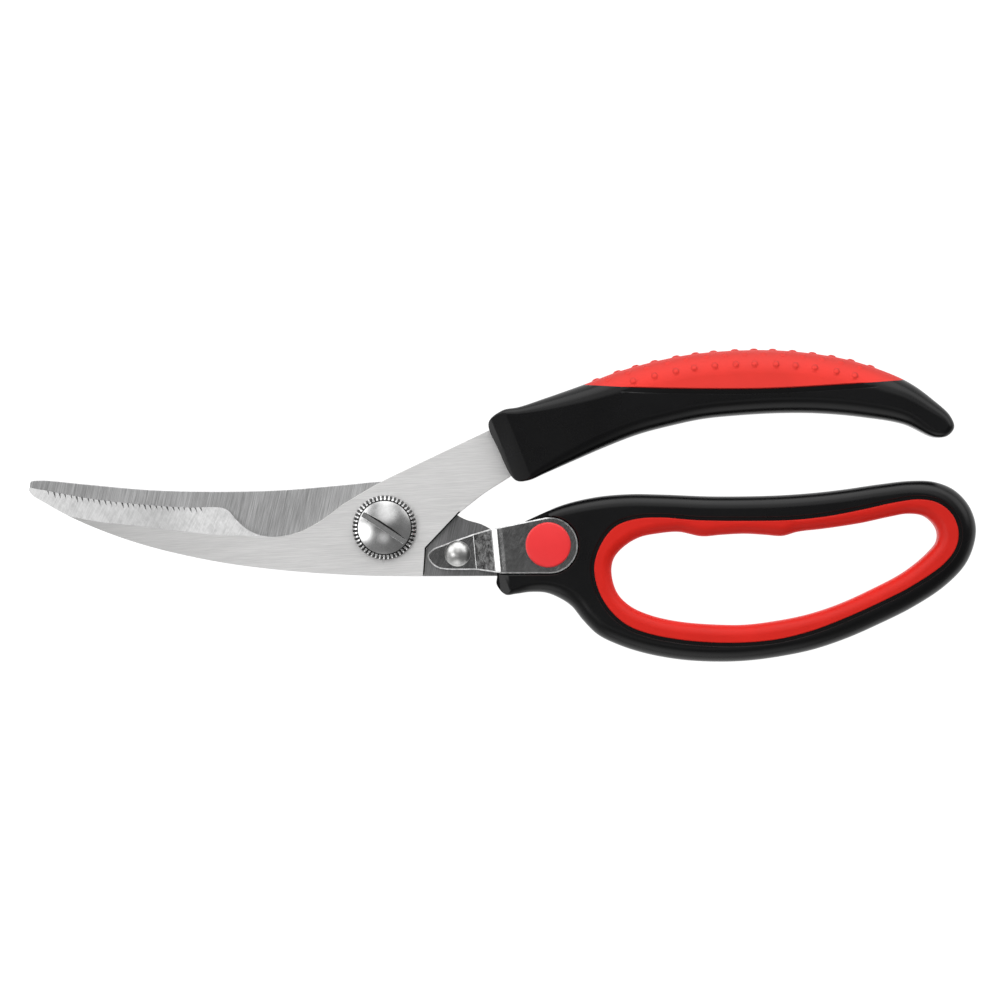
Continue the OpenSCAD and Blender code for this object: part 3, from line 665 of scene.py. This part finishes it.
def front_blade():
    edge = open_curve(FRONT_EDGE + BONE_NOTCH, 12)
    side = open_curve([(33.8, 13.6), (27.0, 9.3), (23.9, 6.9), (20.9, 4.5), (19.5, 3.2)], 5)
    hidden = [(33.5, 28.2), (47, 32.5), (60, 37.6), (62, 32.5), (47, 22.5), (36.8, 16.6)]
    outline = np.concatenate([
        edge, [(-1.2, 12.3), (27.9, 26.1)], hidden, side, [(11.2, -5.6)],
        open_curve(FRONT_BACK, 12),
    ])
    outline = ease(outline, (-1.2, 12.3), 4.0)
    outline = ease(outline, (19.5, 3.2), 1.0)
    outline = ease(outline, (11.2, -5.6), 1.4)
    outline = ease(outline, (10.7, -13.2), 1.0)
    outline = ease(outline, FRONT_EDGE[0], 1.35)
    outline = ease(outline, FRONT_BACK[-1], 1.2)
    wide, deep, foot = 0.09, 0.09, 0.1
    obj = plate("front_blade_look", outline, [
        (foot, FRONT_LOW), (0, FRONT_LOW + foot), (0, FRONT_TOP - deep), (wide, FRONT_TOP),
    ])
    boolean(obj, ground_cutter(BEVEL_LINE, BEVEL_RIM, FRONT_TOP, FRONT_LOW + EDGE_T))
    for nick in nick_cutters():
        boolean(obj, nick)
    bore = lathe("bore", [(0, -1), (4.05, -1), (4.05, 6), (0, 6)], 64)
    boolean(obj, bore)
    pocket = lathe("pocket", [(5.6, -1), (7.8, -1), (7.8, 1.25), (5.6, 1.25)], 64, ring=True)
    boolean(obj, pocket)
    boolean(obj, nose_relief())
    boolean(obj, sheared_cutter())
    slots = []
    for f in obj.data.polygons:
        n, at = f.normal, f.center
        ground = 0.3 < n.z < 0.985 and at.x < -25 and at.z < FRONT_TOP - 0.02 and at.y > -2.6
        # Slot 2, the sheared end's sloping chamfer faces, takes the painted shadow line.
        rough = 0.1 < n.z < 0.7 and at.x > 8 and at.y < 3.4 and at.z < FRONT_TOP - 0.1
        side = abs(n.z) < 0.3 and (at.x > -45 or n.y < -0.5)
        slots.append(1 if side or ground and n.y > -0.9 else 2 if rough else 0)
    return place(obj, "upper_half", ["front_blade"],
                 [front_face, front_bevel, shadow_line_paint], 9, slots)


def nose_relief():
    """Step under the front blade that lets it swing over the latch plate's nose."""
    near, far, top = 13.2, 24.0, 1.75
    turn = np.radians(np.linspace(-100, -10, 46))
    arc = np.column_stack([np.cos(turn), np.sin(turn)])
    return prism("relief", np.concatenate([arc * far, arc[::-1] * near]), -1, top)


def sheared_cutter():
    """Steep chamfer along the front blade's sheared end, mitred at its corner."""
    wide, deep = 0.36, 0.9
    outer = [np.array(q) for q in ((20.4, 4.16), (11.2, -5.6), (10.6, -14.7))]
    sides = []
    for a, b in zip(outer, outer[1:]):
        d = (b - a) / np.linalg.norm(b - a)
        sides.append(np.array([d[1], -d[0]]))
    corner = (sides[0] + sides[1]) / (1 + sides[0] @ sides[1])
    inner = [outer[0] + sides[0] * wide, outer[1] + corner * wide, outer[2] + sides[1] * wide]
    return ground_cutter(inner, outer, FRONT_TOP, FRONT_TOP - deep, 1)


def nick_cutters():
    """V grooves filed across the front blade's cutting edge."""
    first, last, count = -90.9, -49.6, 28
    path = open_curve(FRONT_EDGE, 25)
    half_w, tall, reach = 0.46, 0.9, 2.6
    lean, fall = math.radians(24), math.radians(38)
    cutters = []
    for k in range(count):
        deep = 1.12 + 0.10 * ((k * 7) % 4 - 1.5)
        x = first + (last - first) * k / (count - 1) + 0.07 * ((k * 5) % 3 - 1)
        i = int(np.argmin(np.abs(path[:, 0] - x)))
        d = path[i + 1] - path[i]
        d /= np.linalg.norm(d)
        t = np.array([d[0], d[1], 0])
        out = np.array([-d[1], d[0], 0])
        run = out * math.cos(lean) - t * math.sin(lean)
        across = t * math.cos(lean) + out * math.sin(lean)
        axis = run * math.cos(fall) - np.array([0, 0, math.sin(fall)])
        up = run * math.sin(fall) + np.array([0, 0, math.cos(fall)])
        foot = np.array([x, np.interp(x, path[:, 0], path[:, 1]), FRONT_LOW + EDGE_T + 0.30])
        loops = []
        for s in (-reach, reach):
            base = foot - run * deep + axis * s
            loops.append(np.array([
                base, base + across * half_w * 1.5 + up * tall * 1.5,
                base - across * half_w * 1.5 + up * tall * 1.5,
            ]))
        cutters.append(loft("nick", loops))
    return cutters


def rear_blade():
    spine = open_curve(REAR_SPINE, 10)
    edge = open_curve(REAR_EDGE, 10)
    tang = [(34, -2.6), (50, -2.6), (53, -5.5), (53, -11), (50, -13.6), (34, -13.1)]
    low = open_curve([(10.7, -13.2), (1.5, -12.6), (-7.0, -11.0), (-13.0, -8.4)], 6)
    top = open_curve([(17.0, 6.4), (19.6, 3.4), (22.0, 2.1), (26.3, 0.8), (30.6, -1.6)], 5)[1:]
    outline = np.concatenate([spine, top, tang, low, edge])
    outline = ease(outline, REAR_SPINE[0], 1.1)
    outline = ease(outline, REAR_EDGE[-1], 0.9)
    c = 0.22
    obj = plate("rear_blade_look", outline, [
        (c, REAR_LOW), (0, REAR_LOW + c), (0, -0.15), (0.15, 0.0),
    ])
    boolean(obj, ground_cutter(REAR_BEVEL_LINE, REAR_BEVEL_RIM, REAR_LOW, -EDGE_T))
    for x, y, r in ((0, 0, 4.0), (*RIVET, 1.6)):
        boolean(obj, moved(lathe("bore", [(0, -5), (r, -5), (r, 2), (0, 2)], 48), x, y))
    pocket = lathe("pocket", [(5.6, -1.2), (7.8, -1.2), (7.8, 1), (5.6, 1)], 64, ring=True)
    boolean(obj, pocket)
    return place(obj, "lower_half", ["rear_blade"], [rear_face], 9)


# ---------------------------------------------------------------- pivot

def screw():
    ball = (HEAD_R ** 2 + HEAD_RISE ** 2) / (2 * HEAD_RISE)
    top = RING_TOP + HEAD_RISE
    angles = np.linspace(0, math.asin(HEAD_R / ball), 26)
    dome = [(ball * math.sin(a), top - ball * (1 - math.cos(a))) for a in angles]
    foot = [(HEAD_R, 4.6), (3.0, 4.6), (3.0, -6.0), (0, -6.0)]
    obj = lathe("pivot_screw_look", dome + foot, 160)
    slot = loft("slot", [
        level(np.array([(-9, -w), (-9, w - lean), (9, w - lean), (9, -w)]), z)
        for w, lean, z in ((SLOT_W / 2, 0.46, RING_TOP + 0.1), (SLOT_W / 2, 0, RING_TOP + 1.1),
                           (SLOT_W / 2, 0, 9))
    ])
    boolean(obj, moved(slot, 0, 0, 0, SLOT_TURN))
    soften(obj, 0.05, 35, 2)
    slots = []
    for f in obj.data.polygons:
        # The slot's walls and the head's rim skirt take the painted shade.
        wall = abs(f.normal.z) < 0.6 and RING_TOP < f.center.z and f.center.xy.length < 7.1
        skirt = f.normal.z < 0.85 and f.center.xy.length > 7.1
        slots.append(1 if wall or skirt else 0)
    return place(obj, "lower_half", ["pivot_screw"],
                 [screw_steel, screw_shade_paint], 14, slots)


def ring():
    per = 8
    n = TEETH * per
    crest = [(8.70, RING_LOW), (8.70, RING_LOW + 0.9), (8.60, RING_LOW + 1.1),
             (8.15, RING_TOP - 0.30), (8.0, RING_TOP - 0.18), (7.45, RING_TOP)]
    valley = [(8.62, RING_LOW), (8.62, RING_LOW + 0.12), (8.50, RING_LOW + 0.20),
              (7.70, RING_TOP - 1.05), (7.56, RING_TOP - 0.75), (7.44, RING_TOP - 0.22)]
    inner = [(7.38, RING_TOP - 0.30), (7.35, RING_TOP - 0.7), (3.2, RING_TOP - 0.7),
             (3.2, RING_LOW)]
    wave = [0.0, 0.0, 0.0, 0.75, 1.0, 1.0, 1.0, 0.75]
    loops = []
    for k in range(len(crest) + len(inner)):
        loop = []
        for i in range(n):
            a = 2 * math.pi * i / n
            if k < len(crest):
                w = wave[i % per]
                r = crest[k][0] * w + valley[k][0] * (1 - w)
                z = crest[k][1] * w + valley[k][1] * (1 - w)
            else:
                r, z = inner[k - len(crest)]
            loop.append((r * math.cos(a), -r * math.sin(a), z))
        loops.append(np.array(loop))
    obj = loft("knurled_ring_look", loops, ring=True)
    # Valley columns and the inner faces take the painted shade.
    deep = []
    for f in obj.data.polygons:
        column = min(f.vertices) % n % per
        inside = f.center.xy.length < 7.43
        deep.append(1 if inside or column in (0, 1, 2, 7) and f.center.z > RING_LOW + 0.05 else 0)
    return place(obj, "lower_half", ["knurled_ring"],
                 [ring_steel, ring_shade_paint], 20, deep)


def nut():
    low, high = -HALF, -3.8
    hexagon = np.array([
        (6 / math.cos(math.radians(30)) * math.cos(math.radians(-60 * i)),
         6 / math.cos(math.radians(30)) * math.sin(math.radians(-60 * i))) for i in range(6)
    ])
    body = prism("pivot_nut_look", hexagon, low, high)
    cone = lathe("cone", [(0, low - 0.01), (6.05, low - 0.01), (9.5, low + 1.9), (9.5, 0), (0, 0)], 96)
    boolean(body, cone, "INTERSECT")
    flange = lathe("flange", [(0, -5.0), (7.3, -5.0), (7.6, -4.7), (7.6, -3.95), (7.45, -3.8), (0, -3.8)], 96)
    boolean(body, flange, "UNION")
    bore = lathe("bore", [(0, low + 1.5), (3.0, low + 1.5), (3.0, 0), (0, 0)], 64)
    boolean(body, bore)
    soften(body, 0.12, 30, 2)
    return place(body, "lower_half", ["pivot_nut"], [plain_steel], 28)


# ---------------------------------------------------------------- upper handle

def pad_prism(name, flare):
    """Region over the pad line; near both faces its edge moves up by flare, or down."""
    line = open_curve(PAD_LINE, 8)[::-1]
    loops = []
    for z, k in ((-HALF - 0.5, 2.8), (-HALF + 0.28, 0), (HALF - 0.28, 0), (HALF + 0.5, 2.8)):
        edge = line + np.array([0, flare * k])
        loops.append(level(np.concatenate([[(50, 45), (60, 62), (140, 62), (147, 45.5)], edge]), z))
    return loft(name, loops)


def collar_cutter(a, b, run, drop, side):
    """Wedge that slopes one end of a handle's face: a to b is the end's line."""
    a, b = np.array(a, float), np.array(b, float)
    d = (b - a) / np.linalg.norm(b - a)
    out = np.array([-d[1], d[0]])
    a, b = a - d * 6, b + d * 6
    rise = drop / run
    far = 4.0
    loops = []
    for p in (a, b):
        inner = p - out * run
        outer = p + out * far
        loops.append(np.array([
            (*inner, side * HALF), (*outer, side * (HALF - (run + far) * rise)),
            (*outer, side * (HALF + 3)), (*inner, side * (HALF + 3)),
        ]))
    return loft("collar", loops)


def upper_handle():
    c = closed_curve(UPPER, 10)
    obj = rounded_plate("upper_handle_look", c, HALF, 9)
    boolean(obj, pad_prism("pad", -0.2))
    line = open_curve(PAD_LINE, 8)[3:-3]
    for side in (-1, 1):
        for run, drop in ((2.8, 0.80), (5.0, 0.70)):
            boolean(obj, collar_cutter((34.6, 13.0), (28.4, 28.4), run, drop, side))
        deep = 0.34 * np.minimum(1, np.linspace(0, 5, len(line)))
        deep = np.minimum(deep, deep[::-1])
        loops = [
            [(x, y + 0.2, side * (HALF + 0.1)), (x, y - 1.30, side * (HALF + 0.05 - d)),
             (x, y - 1.62, side * (HALF + 0.1)), (x, y - 0.5, side * (HALF + 1))]
            for (x, y), d in zip(line, deep)
        ]
        boolean(obj, loft("step", [np.array(q) for q in loops]))
    return place(obj, "upper_half", ["upper_handle"], [black], 34)


def nub_row(outline, tilt, first, pitch, count, wide, size):
    nubs = []
    q = inward(outline)
    profile = [(1.55, -0.45), (1.45, -0.12), (1.18, 0.02), (0.98, 0.12), (0.84, 0.27),
               (0.66, 0.40), (0.36, 0.48), (0, 0.50)]
    crest = slice(36, 156)
    xs = outline[crest, 0]
    for k in range(count):
        i = 36 + int(np.argmin(np.abs(xs - (first + pitch * k))))
        r = outline[i, 2]
        a = math.radians(tilt)
        x, y = outline[i, :2] + q[i] * r * (1 - math.cos(a))
        z = math.copysign(HALF - r * (1 - abs(math.sin(a))), tilt) if tilt else 0.0
        n = lathe("nub", [(0, -0.45)] + [(u * wide, v * size) for u, v in profile], 14)
        face = math.degrees(math.atan2(-q[i][1], -q[i][0]))
        n.data.transform(
            Matrix.Translation((x, y, z)) @ Matrix.Rotation(math.radians(face), 4, "Z")
            @ Matrix.Rotation(math.radians(90 - tilt), 4, "Y"))
        nubs.append(n)
    return nubs


def grip_pad():
    c = closed_curve(UPPER, 12)
    obj = rounded_plate("upper_grip_pad_look", c, HALF, 9)
    boolean(obj, pad_prism("pad", 0.28), "INTERSECT")
    nubs = []
    rows = ((0, 57.2, 5.32, 15, 1.05, 0.85), (31, 59.9, 5.32, 14, 0.85, 0.45),
            (66, 66.4, 5.6, 12, 0.85, 0.9))
    for tilt, *row in rows:
        for side in ((1,) if tilt == 0 else (-1, 1)):
            nubs += nub_row(c, side * tilt, *row)
    boolean(obj, joined("nubs", nubs), "UNION")
    return place(obj, "upper_half", ["upper_grip_pad"], [red_grip], 34)


# ---------------------------------------------------------------- lower handle

def latch_plan(m=0.0):
    nose = open_curve([
        (4.9, -4.9 - m), (-4.5, -3.8 - m), (-6.2 - m, -3.0 - m), (-7.5 - m, -1.6),
        (-8.1 - m, 0.3), (-6.8 - m, 1.7 + m), (-3.1, 2.9 + m), (4.9, 4.9 + m),
    ], 6)
    arc = [
        (25 + (7.56 + m) * math.cos(math.radians(a)), -0.15 + (7.56 + m) * math.sin(math.radians(a)))
        for a in range(96, -97, -4)
    ]
    return np.concatenate([nose, [(9.4, 5.8 + m)], arc, [(11.8, -6.5 - m)]])


def at_latch(obj):
    return moved(obj, RIVET[0], RIVET[1], 0, LATCH_TURN)


def lower_handle():
    obj = rounded_plate("lower_handle_look", closed_curve(LOWER, 9), HALF, 9)
    hole = closed_curve(LINER_OUTER, 10)
    for side in (-1, 1):
        boolean(obj, collar_cutter((30.6, -18.2), (30.2, -12.6), 3.6, 1.1, side))
        steps = [(-0.95, side * (HALF - 0.6)), (-0.95, side * (HALF - 0.2)),
                 (-1.45, side * (HALF + 0.3))]
        boolean(obj, plate("step", hole, steps[::side]))
    boolean(obj, prism("hole", hole, -10, 10))
    flare = [(0, BED_TOP), (0, HALF - 0.2), (-0.5, HALF + 0.3)]
    boolean(obj, at_latch(plate("bed", latch_plan(0.4), flare)))
    boolean(obj, at_latch(box_mesh("open", (-12, 0, BED_TOP), (25.5, 20, 12))))
    boolean(obj, at_latch(box_mesh("mouth", (-12, -11, BED_TOP), (10.6, 9, 12))))
    well = lathe("well", [(0, WELL_LOW), (WELL_R, WELL_LOW), (WELL_R, 12), (0, 12)], 64)
    boolean(obj, at_latch(moved(well, BUTTON_U, 0)))
    return place(obj, "lower_half", ["lower_handle"], [black], 34)


def liner():
    c = 0.35
    obj = plate("lower_grip_liner_look", closed_curve(LINER_OUTER, 10), [
        (c, -HALF), (c * 0.3, -HALF + c * 0.3), (0, -HALF + c), (0, HALF - c),
        (c * 0.3, HALF - c * 0.3), (c, HALF),
    ])
    rim = 3.0
    inner = closed_curve(LINER_INNER, 8)
    q = inward(inner)
    loops = [level(inner - q * rim, -HALF - 1)]
    for a in np.radians(np.linspace(-90, 90, 21)):
        flare = rim * (1 - math.cos(a))
        z = math.copysign(HALF - rim, a) + rim * math.sin(a) if abs(a) > 1e-6 else 0.0
        loops.append(level(inner - q * flare, z))
    loops.append(level(inner - q * rim, HALF + 1))
    boolean(obj, loft("rim", loops))
    return place(obj, "lower_half", ["lower_grip_liner"], [red_liner], 34)


# ---------------------------------------------------------------- latch

def latch_plate():
    obj = plate("latch_plate_look", latch_plan(), [
        (0.1, 0.0), (0, 0.1), (0, PLATE_T - 0.22), (0.36, PLATE_T),
    ])
    side_faces = len(latch_plan())
    # The top chamfer's band of faces takes the painted highlight.
    slots = [1 if 2 * side_faces <= i < 3 * side_faces else 0
             for i in range(len(obj.data.polygons))]
    obj.data.polygons.foreach_set("material_index", slots)
    bm = bmesh.new()
    bm.from_mesh(obj.data)
    for u in np.arange(3.9, 13.6, 0.12):
        bmesh.ops.bisect_plane(bm, geom=bm.verts[:] + bm.edges[:] + bm.faces[:], dist=1e-5,
                               plane_co=(u, 0, 0), plane_no=(1, 0, 0))
    bend_u = (4.75, 9.7, 11.2, 11.6, 12.8)
    bend_z = (0.0, 4.44, 4.91, 4.925, PLATE_LIFT)
    for v in bm.verts:
        spread = np.linspace(-0.14, 0.14, 7)
        lift = np.interp(v.co.x + spread, (-20, *bend_u, 60), (0, *bend_z, PLATE_LIFT)).mean()
        v.co.z += PLATE_LOW + lift
    bm.to_mesh(obj.data)
    bm.free()
    for u, r in ((0, 1.75), (BUTTON_U, 1.5)):
        boolean(obj, moved(lathe("bore", [(0, -3), (r, -3), (r, 9), (0, 9)], 48), u, 0))
    # Slot 2, the ramp's upward faces, takes the painted shade.
    slots = [1 if f.material_index == 1 else
             2 if bend_u[0] < f.center.x < bend_u[1] - 0.1 and f.normal.z > 0.5 else 0
             for f in obj.data.polygons]
    at_latch(obj)
    return place(obj, "latch", ["latch_plate"],
                 [plate_steel, latch_rim_highlight, bend_shade_paint], 26, slots)


def rivet():
    r, rise, low = 3.5, 1.7, PLATE_LOW + PLATE_T + 0.25
    ball = (r * r + rise * rise) / (2 * rise)
    dome = [(ball * math.sin(a), low + rise - ball * (1 - math.cos(a)))
            for a in np.linspace(0, math.asin(r / ball) * 0.985, 22)]
    foot = [(r, low + 0.05), (r - 0.1, low - 0.05), (1.6, low - 0.05), (1.6, -3.5), (2.7, -3.5),
            (2.6, -3.7), (2.1, -4.3), (0, -4.35)]
    obj = moved(lathe("latch_rivet_look", dome + foot, 96), *RIVET)
    return place(obj, "lower_half", ["latch_rivet"], [rivet_steel], 30)


def button():
    top = BUTTON_LOW + BUTTON_H
    edge, crown = 0.55, 0.32
    profile = [(0, top)]
    flat_r = BUTTON_R - edge
    for r in np.linspace(0.6, flat_r, 12):
        profile.append((r, top - crown * (r / flat_r) ** 2.2 * 0.75))
    start = profile[-1][1]
    for a in np.radians(np.linspace(15, 90, 8)):
        profile.append((flat_r + edge * math.sin(a), start - edge * (1 - math.cos(a))))
    profile += [(BUTTON_R, BUTTON_LOW + 0.15), (BUTTON_R - 0.15, BUTTON_LOW), (1.5, BUTTON_LOW),
                (1.5, BUTTON_LOW + 0.9), (0, BUTTON_LOW + 0.9)]
    obj = at_latch(moved(lathe("latch_button_look", profile, 128), BUTTON_U, 0))
    return place(obj, "latch", ["latch_button"], [red_plastic], 40)


front_blade()
rear_blade()
screw()
ring()
nut()
upper_handle()
grip_pad()
lower_handle()
liner()
latch_plate()
rivet()
button()

FINISH = {
    "front_blade": front_face, "rear_blade": rear_face, "pivot_screw": screw_steel,
    "knurled_ring": ring_steel, "thrust_washer": nylon, "pivot_sleeve": bronze,
    "opening_spring": spring_wire, "lock_washer": plain_steel, "pivot_nut": plain_steel,
    "upper_handle": black, "upper_grip_pad": red_grip, "upper_anchor_pins": plain_steel,
    "lower_handle": black, "lower_grip_liner": red_liner, "lower_anchor_pins": plain_steel,
    "latch_plate": plate_steel, "latch_rivet": rivet_steel, "latch_rivet_washer": plain_steel,
    "latch_button": red_plastic, "button_stem": screw_steel, "button_stem_clip": plain_steel,
    "button_spring": spring_wire,
}
for name, material in FINISH.items():
    mesh = nodes[name].data
    mesh.materials.clear()
    mesh.materials.append(material)


# ---------------------------------------------------------------- studio

BACKGROUND = [
    (0.0, 0.25), (0.08, 0.3), (0.15, 1.1), (0.28, 0.9), (0.45, 0.42), (0.62, 0.36), (0.85, 0.36),
    (0.96, 0.23), (1.0, 0.15),
]
# Soft lights: direction from +X, angle off the zenith, full out to, gone at, brightness.
SOFT_LIGHTS = [
    (84, 22, 2, 20, 1.0), (192, 34, 5, 17, 2.6), (262, 15, 1, 11, 0.65), (88, 62, 14, 32, 1.9),
    (38, 60, 10, 28, 1.5), (145, 56, 10, 27, 1.9), (265, 66, 10, 28, 0.9),
]


def studio():
    size = 6.0
    low = -0.0004
    floor = mesh_object("floor", [
        (-size, -size, low), (size, -size, low), (size, size, low), (-size, size, low),
    ], [(0, 1, 2, 3)])
    m = bpy.data.materials.new("floor_white")
    m.use_nodes = True
    b = m.node_tree.nodes["Principled BSDF"]
    b.inputs["Base Color"].default_value = (0.15, 0.15, 0.15, 1)
    b.inputs["Roughness"].default_value = 0.9
    b.inputs["Specular IOR Level"].default_value = 0.0
    b.inputs["Emission Color"].default_value = (1, 1, 1, 1)
    b.inputs["Emission Strength"].default_value = 1.0
    floor.data.materials.append(m)

    world = bpy.data.worlds.new("studio")
    bpy.context.scene.world = world
    world.use_nodes = True
    t = world.node_tree
    back = t.nodes["Background"]
    sky = t.nodes.new("ShaderNodeTexCoord").outputs["Generated"]

    def facing(towards):
        n = t.nodes.new("ShaderNodeVectorMath")
        n.operation = "DOT_PRODUCT"
        n.inputs[1].default_value = towards
        t.links.new(sky, n.inputs[0])
        return n.outputs["Value"]

    def ranged(value, low, high, out_low, out_high, kind="LINEAR"):
        n = t.nodes.new("ShaderNodeMapRange")
        n.interpolation_type = kind
        for key, v in zip(("From Min", "From Max", "To Min", "To Max"),
                          (low, high, out_low, out_high)):
            n.inputs[key].default_value = v
        t.links.new(value, n.inputs["Value"])
        return n.outputs["Result"]

    def combined(operation, a, b):
        n = t.nodes.new("ShaderNodeMath")
        n.operation = operation
        t.links.new(a, n.inputs[0])
        t.links.new(b, n.inputs[1])
        return n.outputs[0]

    ramp = t.nodes.new("ShaderNodeFloatCurve")
    curve = ramp.mapping.curves[0]
    most = max(v for _, v in BACKGROUND)
    for at, v in BACKGROUND[1:-1]:
        curve.points.new(at, v / most)
    curve.points[0].location = (0, BACKGROUND[0][1] / most)
    curve.points[-1].location = (1, BACKGROUND[-1][1] / most)
    for point in curve.points:
        point.handle_type = "VECTOR"
    ramp.mapping.update()
    t.links.new(facing((0, 0, 1)), ramp.inputs["Value"])
    level_light = ranged(ramp.outputs[0], 0, 1, 0, most)
    total = combined("MULTIPLY", level_light, ranged(facing((-0.6, 0.8, 0)), -1, 0.6, 0.35, 1))
    for azimuth, off, full, gone, bright in SOFT_LIGHTS:
        a, b = math.radians(azimuth), math.radians(off)
        towards = (math.cos(a) * math.sin(b), math.sin(a) * math.sin(b), math.cos(b))
        glow = ranged(facing(towards), math.cos(math.radians(gone)), math.cos(math.radians(full)),
                      0, bright, "SMOOTHSTEP")
        total = combined("ADD", total, glow)
    t.links.new(total, back.inputs["Color"])
    back.inputs["Strength"].default_value = 1.0


def camera():
    middle_x, middle_y, view_w = 31.455 * MM, 7.155 * MM, 270.54 * MM
    far = 2.5
    cam = bpy.data.cameras.new("camera")
    obj = bpy.data.objects.new("camera", cam)
    bpy.context.scene.collection.objects.link(obj)
    cam.sensor_width = 36
    cam.lens = 36 * far / view_w
    cam.clip_start = 0.01
    cam.clip_end = 50
    obj.location = (middle_x, middle_y, far + 10.5 * MM)
    bpy.context.scene.camera = obj


studio()
camera()
view = bpy.context.scene.view_settings
view.view_transform = "Standard"
view.look = "None"
view.exposure = 0
view.gamma = 1
